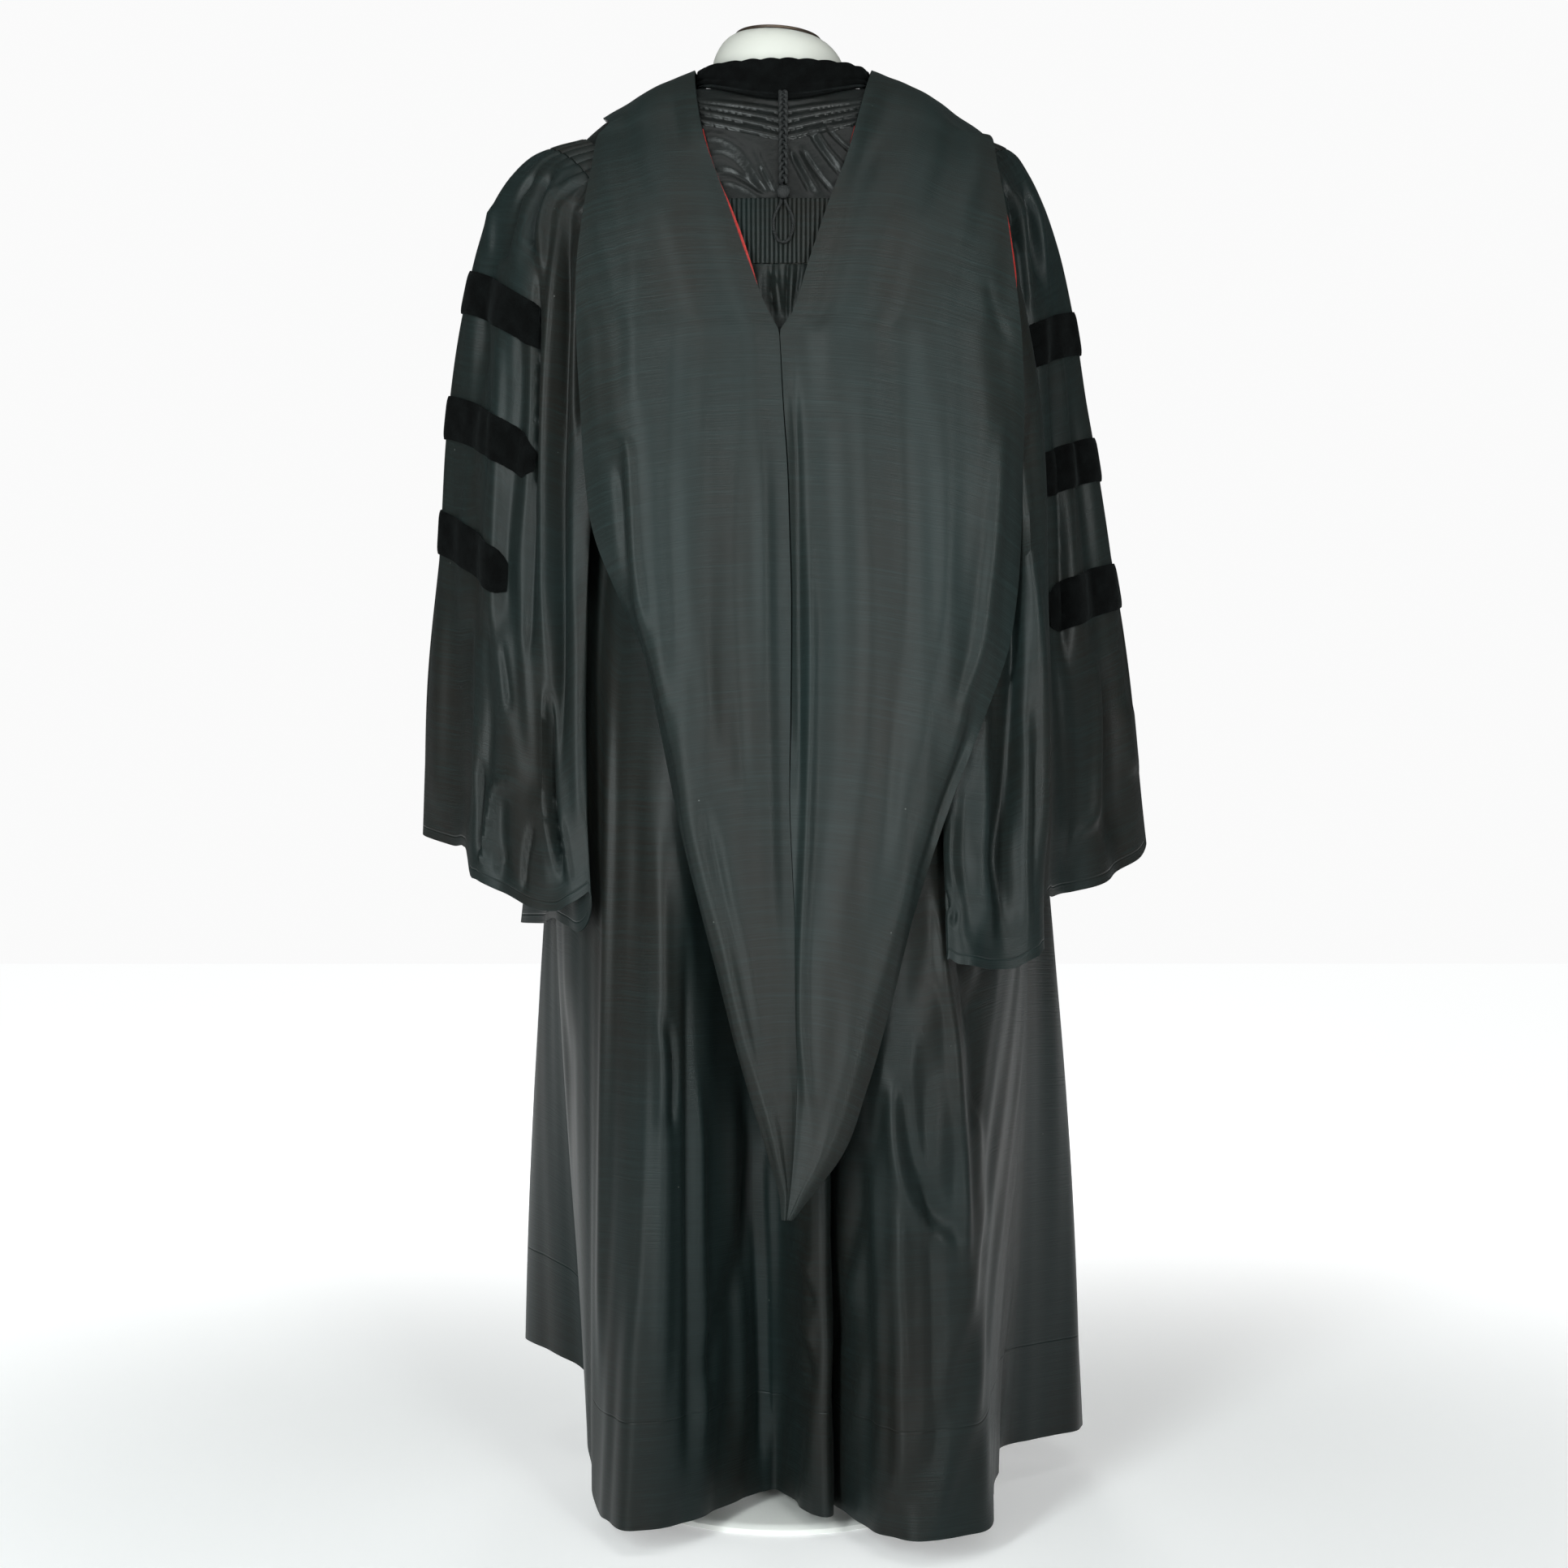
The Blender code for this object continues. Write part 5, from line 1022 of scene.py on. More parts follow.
def hanging_sleeve(side, turn, share):
    c = np.cos(np.radians(turn))
    s = np.sin(np.radians(turn))
    behind = s > 0
    turns = {True: station(share, RIGHT_TURN if side > 0 else LEFT_TURN), False: station(share, FRONT_TURN)}
    heights = {True: station(share, BACK_Z), False: station(share, FRONT_Z)}
    fold = SLEEVE_FOLD_THICKNESS / 2 * ease(share / 0.2)
    edges = {}
    for is_back in (True, False):
        angle = side * turns[is_back]
        z = heights[is_back]
        edges[is_back] = around(angle, inner_radius(angle, z, share) + fold, z)
    power = (1.0 + (SLEEVE_BULGE_POWER - 1.0) * ease(share / 0.3))[..., None]
    width = side * station(share, RIGHT_OUT if side > 0 else LEFT_OUT)
    outer = np.stack([width, np.zeros_like(width), station(share, OUTER_Z)], -1)
    middle = (edges[True] + edges[False]) / 2
    corner = np.where(behind[..., None], edges[True], edges[False])
    reach = np.maximum(c, 0.0)[..., None]
    outside = middle + (outer - middle) * reach**power + (corner - middle) * np.abs(s)[..., None] ** power
    outside[..., 2] = outer[..., 2] + (corner[..., 2] - outer[..., 2]) * (1 - np.maximum(c, 0.0)) ** 1.1
    angle = side * (90.0 + (np.where(behind, turns[True], turns[False]) - 90.0) * np.abs(s))
    z = np.where(behind, heights[True], heights[False])
    z = z + (station(share, INNER_Z) - z) * np.maximum(-c, 0.0)
    inside = around(angle, inner_radius(angle, z, share) + fold * (1 + np.minimum(c, 0.0)), z)
    return np.where((c >= 0)[..., None], outside, inside)


def plain_sleeve(side, turn, share):
    angle = side * (90.0 - ARMHOLE_HALF_ANGLE * np.sin(np.radians(turn)))
    z = ARMHOLE_Z + ARMHOLE_HALF_HEIGHT * np.cos(np.radians(turn))
    armhole = around(angle, body_radius(angle, z) + ARMHOLE_LAP, z)
    fit = (1 - ease(share / SLEEVE_SPREAD))[..., None]
    places = hanging_sleeve(side, turn, share) + (armhole - hanging_sleeve(side, turn, 0.0 * share)) * fit
    rise = curve(CUFF_RISES[:, 0], CUFF_RISES[:, 2 if side > 0 else 1], wrapped(turn))
    places[..., 2] += rise * ease((share - CUFF_START_SHARE) / (1 - CUFF_START_SHARE))
    return places


def ring_normals(side, turn, share):
    step = SURFACE_STEP
    across = plain_sleeve(side, turn + step, share) - plain_sleeve(side, turn - step, share)
    low = np.maximum(share - step, 0.0)
    high = np.minimum(share + step, 1.0)
    down = plain_sleeve(side, turn, high) - plain_sleeve(side, turn, low)
    return side * unit(np.cross(across, down))


def sleeve(side, turn, share):
    """A sleeve with its broad folds, and its normals."""
    out = ring_normals(side, turn, share)
    lift = np.zeros_like(turn)
    for fold_side, angle, half_width, height, start, full in SLEEVE_FOLDS:
        if fold_side == side:
            grown = ease((share - start) / (full - start))
            lift += height * grown * np.exp(-(((turn - angle) / half_width) ** 2))
    places = plain_sleeve(side, turn, share) + out * lift[..., None]
    if side > 0:
        near = np.exp(-(((turn - FOLD_OVERHANG_TURN) / FOLD_OVERHANG_HALF_WIDTH) ** 2))
        places[..., 0] += near * curve(FOLD_OVERHANG[:, 0], FOLD_OVERHANG[:, 1], share)
    return places, out


def head_flutes(turn):
    round_head = (turn + SLEEVE_FLUTES_END) / (2 * SLEEVE_FLUTES_END)
    return fluted(SLEEVE_FLUTES, np.clip(round_head, 0, 1))


def read_grid(places, columns, rows, column, row):
    """Points of a grid between its own, at the given columns and rows."""
    x = np.interp(column, columns, np.arange(len(columns)))
    y = np.interp(row, rows, np.arange(len(rows)))
    x0 = np.clip(x.astype(int), 0, len(columns) - 2)
    y0 = np.clip(y.astype(int), 0, len(rows) - 2)
    tx = (x - x0)[..., None]
    ty = (y - y0)[..., None]
    top = places[y0, x0] * (1 - tx) + places[y0, x0 + 1] * tx
    return top * (1 - ty) + (places[y0 + 1, x0] * (1 - tx) + places[y0 + 1, x0 + 1] * tx) * ty


def make_sleeves():
    edge = SLEEVE_MIDDLE_ANGLE
    below = np.linspace(-180, -edge, SLEEVE_UNDER_COLUMNS)[:-1]
    middle = np.linspace(-edge, edge, SLEEVE_MIDDLE_COLUMNS)[:-1]
    turns = np.concatenate([below, middle, np.linspace(edge, 180, SLEEVE_UNDER_COLUMNS)])
    shares = np.concatenate([SLEEVE_TOP_SHARES, np.linspace(SLEEVE_ROWS_START, 1.0, SLEEVE_ROWS)])
    for side, name in ((-1, "left"), (1, "right")):
        turn, share = grid(turns, shares)
        places, out = sleeve(side, turn, share)
        places = places - out * (HEAD_LAP * (1 - ease((share - SLEEVE_HEAD_SHARE) / 0.004)))[..., None]
        shown = normals(places)
        down = lengths_along(places, 0)
        wave = ripples(turn / 180 * 0.30, down, 0.040, 0.40, SLEEVE_SEED + side)
        puckers = ripples(turn / 180 * 0.30, down * 0.0, 0.014, 1.0, PUCKER_SEED + side)
        puckers *= ease((PUCKERS_END_SHARE - share) / 0.10) * ease((135.0 - np.abs(turn)) / 30.0)
        rise = SLEEVE_WAVE * wave * ease(share / 0.15) + PUCKER_HEIGHT * puckers
        rise = rise * ease((share - SLEEVE_HEAD_SHARE) / 0.03)
        rise += head_flutes(turn) * ease((share - FLUTES_START_SHARE) / 0.002) * ease((0.11 - share) / 0.06)
        places = creased("sleeve_" + name, places + shown * rise[..., None], shown)
        places[:, -1] = places[:, 0]
        cloth("sleeve_" + name, "cloth", places, CLOTH, "black_sleeve", True)
        make_bars(side, name, places, turns, shares)
        make_head(side, name)


def make_bars(side, name, places, turns, shares):
    out = normals(places)
    for number, left, right, slope, left_end, right_end, front_end, point in SLEEVE_BARS:
        middle, slope, back_end = (right, 0.0, right_end) if side > 0 else (left, slope, left_end)
        turn, v = grid(np.linspace(front_end, back_end, BAR_GRID[0]), np.linspace(-1, 1, BAR_GRID[1]))
        from_end = np.minimum(turn - front_end, back_end - turn) / BAR_END_TURN
        half = BAR_HEIGHT_SHARE / 2 * (point + (1 - point) * np.clip(from_end, 0, 1))
        share = middle + half * v + slope * np.maximum(turn, 0.0) / BAR_SLOPE_TURN
        edge = 1 - np.clip(np.maximum(np.abs(v), 1 - from_end * 3), 0, 1) ** 6
        lift = CLOTH / 2 + GAP + VELVET / 2 + BAR_CROWN * edge
        bar = read_grid(places, turns, shares, turn, share)
        bar = bar + read_grid(out, turns, shares, turn, share) * lift[..., None]
        cloth("sleeve_bar_" + name + "_" + str(number), "pile", bar, VELVET, "black_velvet")


def make_head(side, name):
    under = np.linspace(SLEEVE_FLUTES_END, 180.0, HEAD_UNDER_COLUMNS)[1:]
    turns = np.linspace(-SLEEVE_FLUTES_END, SLEEVE_FLUTES_END, SLEEVE_FLUTES * FLUTE_STEPS + 1)
    turns = np.concatenate([-under[::-1], turns, under])
    turn, share = grid(turns, np.linspace(0, SLEEVE_HEAD_SHARE, HEAD_ROWS))
    places, out = sleeve(side, turn, share)
    places = places + out * head_flutes(turn)[..., None]
    tucked = places[:1] - unit(places[1:2] - places[:1]) * HEAD_TUCK
    inward = unit(places[:1] * np.array([-1.0, -1.0, 0.0]))
    tucked = tucked + inward * (HEAD_TUCK_IN * np.abs(np.sin(np.radians(turn[:1]))))[..., None]
    places = np.concatenate([tucked, places])
    places[:, -1] = places[:, 0]
    cloth("sleeve_head_" + name, "cloth", places, CLOTH, "black_cloth", closed=True)


# Hood

def hood_rows(side):
    rows = []
    knots = np.array(HOOD_KNOTS_ACROSS)
    for angle, inner, left_outer, right_outer, rise in HOOD_SHOULDER_ROWS:
        share = inner + ((right_outer if side > 0 else left_outer) - inner) * knots
        turn = np.full_like(share, side * angle)
        up = yoke_normal(turn, share)
        up *= np.sign(up[:, 2:3])
        rows.append(yoke(turn, share) + up * (HOOD_LIFT + rise * (1 - knots) ** 2)[:, None])
    for row in HOOD_BACK_ROWS:
        z, behind = row[0], row[7:10]
        across = row[4:7] if side > 0 else row[1:4]
        inner, ridge, outer = (np.array([x, -y, z]) for x, y in zip(across, behind))
        inner[0] += side * HOOD_SEAM
        bulge = HOOD_BULGE * np.clip(abs(ridge[0] - inner[0]) / 0.1, 0, 1)
        middle = inner + (ridge - inner) * (HOOD_KNOTS_ACROSS[1] / HOOD_KNOTS_ACROSS[2])
        rows.append(np.array([inner, middle + np.array([0.0, -bulge, 0.0]), ridge, outer]))
    return np.array(rows)


def hood_surface(rows, places, u, v):
    """The hood at arrays of shares across and down."""
    knots = curve(places, rows, v.ravel())
    found = [curve(HOOD_KNOTS_ACROSS, row, across) for row, across in zip(knots, u.ravel())]
    return np.array(found).reshape(u.shape + (3,))


def settled_hood(rows, row_places, across, down, under):
    """The hood on a coarse grid, moved out wherever it would lie in the pieces under it."""
    def at(u, v):
        return hood_surface(rows, row_places, u, v)

    u, v = grid(across, down)
    middle = np.clip(u, 0.02, 0.98)
    side = at(middle + 0.01, v) - at(middle - 0.01, v)
    fall = at(middle, np.minimum(v + 0.01, 1)) - at(middle, np.maximum(v - 0.01, 0))
    out = unit(np.cross(side, fall))
    on_back = (v > SHOULDER_SHARE)[..., None]
    level = np.where(on_back, [0.0, -1.0, 0.25], [0.0, 0.0, 1.0])
    out = out * np.where(np.sum(out * level, -1) > 0, 1.0, -1.0)[..., None]
    out = np.where(on_back, unit(out + np.array([0.0, -1.5, 0.0])), out)
    clearance = HOOD_CLEARANCE + HOOD_EDGE_CLEARANCE * ease(1 - 4 * np.minimum(u, 1 - u))
    lift = np.zeros(u.shape)
    for du, dv in SETTLE_SAMPLES:
        places = at(np.clip(u + du, 0, 1), np.clip(v + dv, 0, 1))
        for index in np.ndindex(u.shape):
            start = Vector(places[index])
            away = Vector(out[index])
            for tree in under:
                hit = tree.ray_cast(start + away * SETTLE_REACH, -away, 2 * SETTLE_REACH)[0]
                if hit:
                    lift[index] = max(lift[index], clearance[index] - (start - hit).dot(away))
    return at(u, v) + out * lift[..., None]


def settle_trees():
    """The pieces of the part that the hood rests on."""
    names = ["gown_yoke", "gown_back_gathers", "gown_back", "sleeve_head_left", "sleeve_head_right",
             "sleeve_left", "sleeve_right"]
    graph = bpy.context.evaluated_depsgraph_get()
    return [BVHTree.FromObject(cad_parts[name], graph) for name in names]


def make_hood(under):
    start = len(HOOD_SHOULDER_ROWS)
    fine_across = np.linspace(0, 1, HOOD_GRID[0])
    fine_down = np.linspace(0, 1, HOOD_GRID[1])
    for side, name in ((-1, "left"), (1, "right")):
        rows = hood_rows(side)
        steps = np.linalg.norm(np.diff(rows[:, 1], axis=0), axis=1)
        row_places = np.concatenate([[0.0], np.cumsum(steps)]) / steps.sum()
        between = (row_places[:start] + row_places[1:start + 1]) / 2
        down = np.sort(np.concatenate([row_places, between]))
        coarse = settled_hood(rows, row_places, HOOD_SETTLED_ACROSS, down, under)
        places = curve(down, coarse, fine_down)
        places = np.swapaxes(curve(HOOD_SETTLED_ACROSS, np.swapaxes(places, 0, 1), fine_across), 0, 1)
        shown = normals(places, HOOD_CENTRE)
        u, v = grid(fine_across, fine_down)
        quiet = ease(np.minimum(u, 1 - u) * 8) * ease((v - 0.12) / 0.1) * ease((1 - v) * 10)
        waved = places + shown * (waves(places, HOOD_WAVES, side) * quiet)[..., None]
        places = creased("hood_" + name, waved, shown)
        cloth("hood_" + name, "faille", places, HOOD_WALL, "black_faille")
        edges = [("hood_lining_" + name, start, 0)]
        if side > 0:
            edges.append(("hood_lining_side", start + 1, -1))
        for lining, first, edge in edges:
            shows = (fine_down >= row_places[first]) & (fine_down <= row_places[start + 4])
            make_lining(lining, places[shows], shown[shows], edge)


LINING_WIDTH = 0.012

# How much lining shows past the hood's edge: the photograph's height in pixels, millimetres
LINING_SHOWS = {
    "hood_lining_left": [
        (150, 0.6), (200, 0.4), (225, 0.9), (245, 2.2), (330, 2.0), (350, 0.6), (362, -1.0), (420, -1.0),
    ],
    "hood_lining_right": [(150, 0.3), (185, -0.6), (420, -1.0)],
    "hood_lining_side": [
        (150, 0.4), (236, 0.6), (250, 0.2), (262, 1.4), (300, 2.6), (345, 2.4), (366, 0.2), (380, -1.0),
    ],
}


def make_lining(name, places, shown, edge):
    """A strip of lining folded under an edge of the hood, which shows past it."""
    line = places[:, edge]
    inward = unit(places[:, 6 if edge == 0 else -7] - line)
    up = shown[:, 3 if edge == 0 else -4]
    u = np.linspace(0, 1, LINING_COLUMNS)[None, :, None]
    sink = HOOD_WALL / 2 + CLOTH / 2 + 2 * GAP
    shows = np.array(LINING_SHOWS[name]) / [1, 1000]
    showing = curve(shows[:, 0], shows[:, 1], photo_places(line)[1])[:, None, None]
    strip = line[:, None] + inward[:, None] * (LINING_WIDTH * u - showing) - up[:, None] * sink
    cloth(name, "cloth", strip, CLOTH, "red_lining")


# Braid, button and loop

BRAID_PATH = 220
BRAID_START = 0.02
BRAID_END = 0.905
BRAID_LIFT = 0.0041
BRAID_TURNS = 4.6
BRAID_SWAY = 0.0031
BRAID_WEAVE = 0.0021
BRAID_STRAND_RADIUS = 0.0017
BUTTON_RADIUS = 0.0066
BUTTON_FLATNESS = 0.62
BUTTON_RIM = 0.06
BUTTON_RIM_AT = 0.86
BUTTON_RIM_WIDTH = 0.10
BUTTON_SHARE = 0.965
BUTTON_Z = 1.2665
LOOP_DIAMETER = 0.0034
LOOP_PATH = 200
LOOP_TURNS = 26
LOOP_STRAND_OFFSET = 0.00080
LOOP_STRAND_RADIUS = 0.00092

# The loop's left half: places across, and below the button
LOOP_HALF = [
    (-0.0019, -0.0016), (-0.0026, -0.005), (-0.0052, -0.010), (-0.0080, -0.0160), (-0.0093, -0.0230),
    (-0.0088, -0.0310), (-0.0062, -0.0385), (-0.0022, -0.0420),
]


def strand(points, radius, sides):
    """A tube along points, made as a bevelled curve and turned into a mesh."""
    bpy.ops.object.select_all(action="DESELECT")
    bpy.ops.curve.primitive_nurbs_path_add()
    path = bpy.context.object
    path.data.splines.clear()
    line = path.data.splines.new("POLY")
    line.points.add(len(points) - 1)
    for knot, place in zip(line.points, points):
        knot.co = (*place, 1.0)
    path.data.bevel_depth = radius
    path.data.bevel_resolution = sides // 2 - 2
    path.data.use_fill_caps = True
    path.location = (0.0, 0.0, 0.0)
    only(path)
    bpy.ops.object.convert(target="MESH")
    weld(1e-6)
    soft_shading(60)
    return bpy.context.object


def joined(pieces):
    only(pieces[0])
    for piece in pieces[1:]:
        piece.select_set(True)
    bpy.ops.object.join()
    return bpy.context.object


def make_braid():
    t = np.linspace(0, 1, BRAID_PATH)
    share = BRAID_START + (BRAID_END - BRAID_START) * t
    line = yoke(0.0 * share, share)
    along = unit(np.gradient(line, axis=0))
    up = unit(np.cross(np.array([1.0, 0.0, 0.0]), along))
    up *= np.sign(-up[:, 1:2])
    base = line + up * (CLOTH / 2 + BRAID_LIFT)
    strands = []
    for number in range(3):
        phase = 2 * math.pi * (t * BRAID_TURNS + number / 3)
        sway = BRAID_SWAY * np.sin(phase)[:, None] * np.array([1.0, 0.0, 0.0])
        weave = up * (BRAID_WEAVE * np.sin(2 * phase))[:, None]
        strands.append(strand(base + sway + weave, BRAID_STRAND_RADIUS, 10))
    placed(joined(strands), "yoke_braid_strands", "black_braid", "yoke_braid")


def make_button():
    bpy.ops.object.select_all(action="DESELECT")
    bpy.ops.mesh.primitive_uv_sphere_add(segments=40, ring_count=20, radius=BUTTON_RADIUS)
    button = bpy.context.object
    places = np.array([vertex.co for vertex in button.data.vertices])
    radial = np.hypot(places[:, 0], places[:, 2]) / BUTTON_RADIUS
    rim = 1 + BUTTON_RIM * np.exp(-(((radial - BUTTON_RIM_AT) / BUTTON_RIM_WIDTH) ** 2))
    places[:, 1] *= BUTTON_FLATNESS * rim
    lift = BUTTON_RADIUS * BUTTON_FLATNESS + CLOTH / 2 + 5 * GAP
    places += np.array([0.0, yoke(0.0, BUTTON_SHARE)[1] - lift, BUTTON_Z])
    button.data.vertices.foreach_set("co", places.astype(np.float32).ravel())
    bpy.ops.object.shade_smooth()
    placed(button, "yoke_button_knot", "black_braid", "yoke_button")


def make_loop():
    clear = FLUTE_HEIGHT + CLOTH / 2 + GAP + LOOP_DIAMETER / 2
    flat = np.array(LOOP_HALF + [(-x, z) for x, z in reversed(LOOP_HALF)])
    z = (BUTTON_Z - BUTTON_RADIUS) + flat[:, 1]
    knots = np.stack([flat[:, 0], -smooth_radius(0.0, z) - clear, z], -1)
    path = curve(np.linspace(0, 1, len(knots)), knots, np.linspace(0, 1, LOOP_PATH))
    along = unit(np.gradient(path, axis=0))
    side = unit(np.cross(along, np.array([0.0, -1.0, 0.0])))
    depth = np.cross(side, along)
    turns = np.linspace(0, 2 * math.pi * LOOP_TURNS, len(path))
    strands = []
    for number in range(2):
        phase = turns + math.pi * number
        offset = side * np.cos(phase)[:, None] + depth * np.sin(phase)[:, None]
        strands.append(strand(path + offset * LOOP_STRAND_OFFSET, LOOP_STRAND_RADIUS, 6))
    loop = placed(joined(strands), "yoke_cord_loop_twist", "black_braid", "yoke_cord_loop")


# Dress form

TORSO_RINGS = [
    ("neck", (0.0425, FORM_NECK_TOP_Z)), ("neck", (0.0480, 1.4445)), ("neck", (0.0530, 1.4410)),
    ("neck", (0.0610, 1.4310)), ("neck", (0.0655, 1.4200)), ("neck", (0.0665, 1.4050)),
    ("base", 0.0670), ("shoulder", 0.14), ("shoulder", 0.35), ("shoulder", 0.56),
    ("shoulder", 0.77), ("shoulder", 0.96), ("torso", (0.188, 0.106, 1.190)),
    ("torso", (0.178, 0.108, 1.110)), ("torso", (0.160, 0.104, 1.030)), ("torso", (0.146, 0.098, 0.950)),
    ("torso", (0.152, 0.102, 0.870)), ("torso", (0.166, 0.112, 0.790)), ("torso", (0.166, 0.112, 0.750)),
    ("torso", (0.150, 0.098, FORM_BOTTOM_Z)),
]


def torso_ring(kind, value, angle):
    back = np.cos(np.radians(angle)) ** 2
    if kind == "neck":
        radius, z = value
        leaning = ease((z - NECKBAND_TOP_Z) / (FORM_NECK_TOP_Z - NECKBAND_TOP_Z))
        radius = radius * (1 - FORM_NECK_FLATNESS * back * (1 - leaning))
        ring = around(angle, radius, np.full_like(angle, z))
        ring[:, 2] -= math.tan(math.radians(FORM_NECK_TILT)) * ring[:, 0] * leaning
        ring[:, 0] += FORM_NECK_SHIFT * ease((z - 1.39) / 0.03)
        return ring
    if kind == "base":
        return around(angle, value * (1 - FORM_NECK_FLATNESS * back), neck_z(angle) - FORM_NECK_BASE_DROP)
    if kind == "shoulder":
        share = np.full_like(angle, value)
        place = yoke(angle, share)
        up = yoke_normal(angle, share)
        away = np.stack([place[:, 0], place[:, 1], np.full_like(angle, 0.3)], -1)
        up *= np.sign(np.sum(up * away, -1))[:, None]
        return place - up * (CLOTH / 2 + FORM_CLEARANCE + FORM_CLEARANCE_BACK * back)[:, None]
    width, depth, z = value
    turn = np.radians(angle)
    across = np.abs(np.sin(turn)) / width
    along = np.abs(np.cos(turn)) / depth
    radius = (across**TORSO_POWER + along**TORSO_POWER) ** (-1 / TORSO_POWER)
    return np.stack([radius * np.sin(turn), -radius * np.cos(turn), np.full_like(turn, z)], -1)


def make_torso():
    columns, rows = TORSO_GRID
    angle = np.linspace(-180, 180, columns)
    rings = np.array([torso_ring(kind, value, angle) for kind, value in TORSO_RINGS])
    steps = np.concatenate([[0.0], np.cumsum(np.linalg.norm(np.diff(rings[:, 30], axis=0), axis=1))])
    fine = curve(steps, rings, np.linspace(0, steps[-1], rows))
    top, bottom = (np.broadcast_to(fine[row].mean(0), fine[row].shape)[None] for row in (0, -1))
    torso = laid_grid(np.concatenate([top, fine, bottom]))
    weld(1e-5, outward=True)
    soft_shading(50)
    placed(torso, "form_torso_shell", "form_white", "form_torso")


def make_cylinder(sides, radius, depth, z, edge, x=0.0, tilt=0.0):
    """A short or long cylinder with its edges rounded off."""
    bpy.ops.object.select_all(action="DESELECT")
    bpy.ops.mesh.primitive_cylinder_add(vertices=sides, radius=radius, depth=depth, location=(x, 0.0, z),
                                        rotation=(0.0, math.radians(tilt), 0.0))
    piece = bpy.context.object
    bevel = piece.modifiers.new("Edge", "BEVEL")
    bevel.width = edge
    bevel.segments = 3
    bevel.limit_method = "ANGLE"
    bpy.ops.object.modifier_apply(modifier=bevel.name)
    bpy.ops.object.transform_apply(location=True, rotation=True, scale=True)
    soft_shading(50)
    return piece


def make_stand():
    cap_z = FORM_NECK_TOP_Z + GAP + CAP_THICKNESS / 2
    cap = make_cylinder(ROUND_SIDES, CAP_RADIUS, CAP_THICKNESS, cap_z, CAP_BEVEL,
                        FORM_NECK_SHIFT, FORM_NECK_TILT)
    placed(cap, "form_neck_cap_plate", "cap_metal", "form_neck_cap")
    pole = make_cylinder(POLE_SIDES, POLE_RADIUS, FORM_BOTTOM_Z - BASE_BOSS_TOP - 2 * GAP,
                         (FORM_BOTTOM_Z + BASE_BOSS_TOP) / 2, POLE_BEVEL)
    placed(pole, "form_pole_tube", "stand_white", "form_pole")
    mesh = bpy.data.meshes.new("base")
    mesh.from_pydata([(radius, 0.0, z) for radius, z in BASE_PROFILE],
                     [(index, index + 1) for index in range(len(BASE_PROFILE) - 1)], [])
    base = bpy.data.objects.new("base", mesh)
    bpy.context.scene.collection.objects.link(base)
    only(base)
    screw = base.modifiers.new("Turn", "SCREW")
    screw.steps = ROUND_SIDES
    screw.render_steps = ROUND_SIDES
    screw.use_merge_vertices = True
    screw.merge_threshold = 0.00005
    bpy.ops.object.modifier_apply(modifier=screw.name)
    soft_shading(40)
    placed(base, "form_base_disc", "stand_white", "form_base")


# Stage, lights and camera

SENSOR = 36.0
BACKDROP = 0.96
FLOOR_SIZE = 14.0
FLOOR_COLOUR = (0.90, 0.90, 0.90)
FLOOR_SHADE = (0.88, 0.88, 0.88)

# The floor's glow, painted light that is dimmer near the gown as a painted shadow round its foot: from one
# distance to another from the gown, from one strength to another
FLOOR_PAINTED_LIGHT_AND_SHADOW = (0.4, 2.0, 0.30, 0.85)

# The surround's light: from one depth to another, from one strength to another
SURROUND = (-0.6, 0.3, 0.29, 0.07)
SURROUND_COLOUR = (0.93, 1.0, 0.99)

# Lamps: place, the point they face, size, power, colour, spread in degrees
LAMPS = [
    ((-1.45, -3.0, 1.5), (0.0, 0.0, 0.8), (0.6, 2.2), 88.0, (0.92, 1.0, 1.0), 180.0),
    ((1.2, -3.1, 1.6), (0.05, 0.0, 1.2), (0.6, 1.6), 6.9, (0.95, 1.0, 0.99), 56.0),
    ((0.0, -1.2, 3.6), (0.0, 0.0, 0.6), (2.4, 1.6), 20.0, (1.0, 1.0, 1.0), 180.0),
    ((0.0, 3.0, 1.0), (0.0, 0.0, 0.8), (0.8, 1.6), 20.0, (1.0, 1.0, 1.0), 180.0),
]


def make_camera():
    bpy.ops.object.camera_add(location=(0.0, -CAMERA_BACK, CAMERA_Z), rotation=(math.pi / 2, 0.0, 0.0))
    camera = bpy.context.object
    camera.data.sensor_width = SENSOR
    camera.data.lens = FOCAL / PHOTO * SENSOR
    camera.data.shift_x = (PHOTO / 2 - AXIS_X) / PHOTO
    bpy.context.scene.camera = camera
    bpy.context.scene.view_settings.view_transform = "Standard"


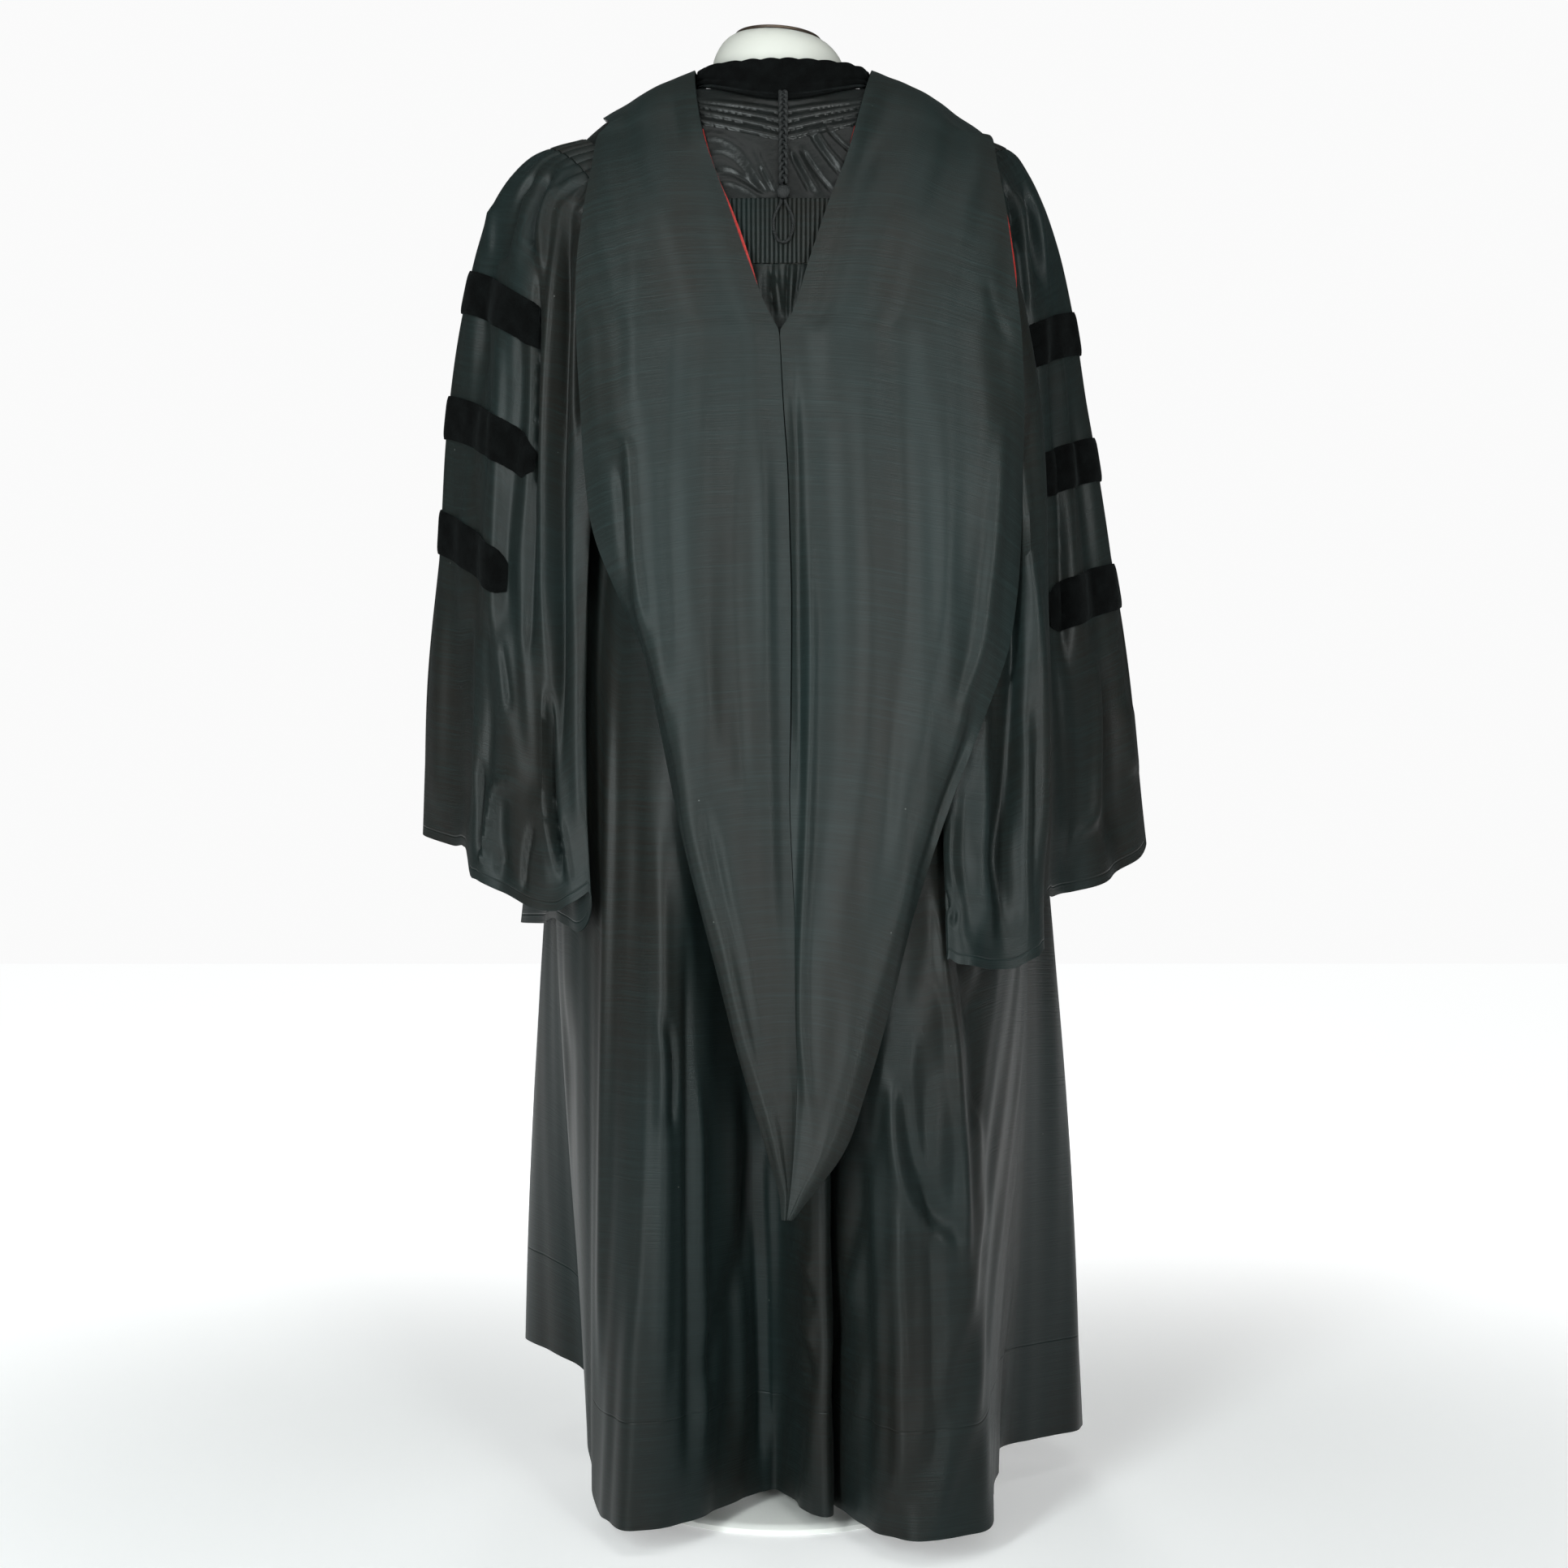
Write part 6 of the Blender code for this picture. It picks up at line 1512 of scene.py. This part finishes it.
def make_floor():
    bpy.ops.object.select_all(action="DESELECT")
    bpy.ops.mesh.primitive_plane_add(size=FLOOR_SIZE)
    floor = bpy.context.object
    floor.name = "studio_floor"
    finish = solid_finish("studio_floor", FLOOR_COLOUR, FLOOR_SHADE, 0.6)
    tree = finish.node_tree
    place = tree.nodes["Texture Coordinate"].outputs["Object"]
    # The floor glows as painted light, dimmer near the gown as a painted shadow round its foot
    far = node(tree, "VectorMath", {0: place}, operation="LENGTH").outputs["Value"]
    painted_light_and_shadow = node(tree, "MapRange", dict(enumerate((far, *FLOOR_PAINTED_LIGHT_AND_SHADOW))), interpolation_type="SMOOTHSTEP")
    shader = tree.nodes["Principled BSDF"]
    join(tree, painted_light_and_shadow.outputs[0], shader.inputs["Emission Strength"])
    join(tree, (1.0, 1.0, 1.0), shader.inputs["Emission Color"])
    floor.data.materials.append(finish)


def make_world():
    world = bpy.data.worlds.new("studio")
    bpy.context.scene.world = world
    world.use_nodes = True
    tree = world.node_tree
    surround = tree.nodes["Background"]
    place = node(tree, "TexCoord", {}).outputs["Generated"]
    depth = node(tree, "SeparateXYZ", {0: place}).outputs[1]
    join(tree, SURROUND_COLOUR, surround.inputs[0])
    strength = node(tree, "MapRange", dict(enumerate((depth, *SURROUND)))).outputs[0]
    join(tree, strength, surround.inputs[1])
    backdrop = node(tree, "Background", {0: (1.0, 1.0, 1.0), 1: BACKDROP})
    seen = node(tree, "LightPath", {}).outputs["Is Camera Ray"]
    choice = node(tree, "MixShader", {0: seen, 1: surround.outputs[0], 2: backdrop.outputs[0]})
    join(tree, choice.outputs[0], tree.nodes["World Output"].inputs[0])


def make_lamps():
    for place, target, size, power, colour, spread in LAMPS:
        bpy.ops.object.light_add(type="AREA", location=place)
        light = bpy.context.object
        light.data.shape = "RECTANGLE"
        light.data.size, light.data.size_y = size
        light.data.energy = power
        light.data.color = colour
        light.data.spread = math.radians(spread)
        light.rotation_euler = (Vector(target) - Vector(place)).to_track_quat("-Z", "Y").to_euler()


trees = settle_trees()
make_camera()
make_loop()
make_torso()
make_stand()
make_back()
make_fronts()
make_gathers()
make_yoke()
make_neckband()
make_sleeves()
make_hood(trees)
make_braid()
make_button()
make_floor()
make_world()
make_lamps()
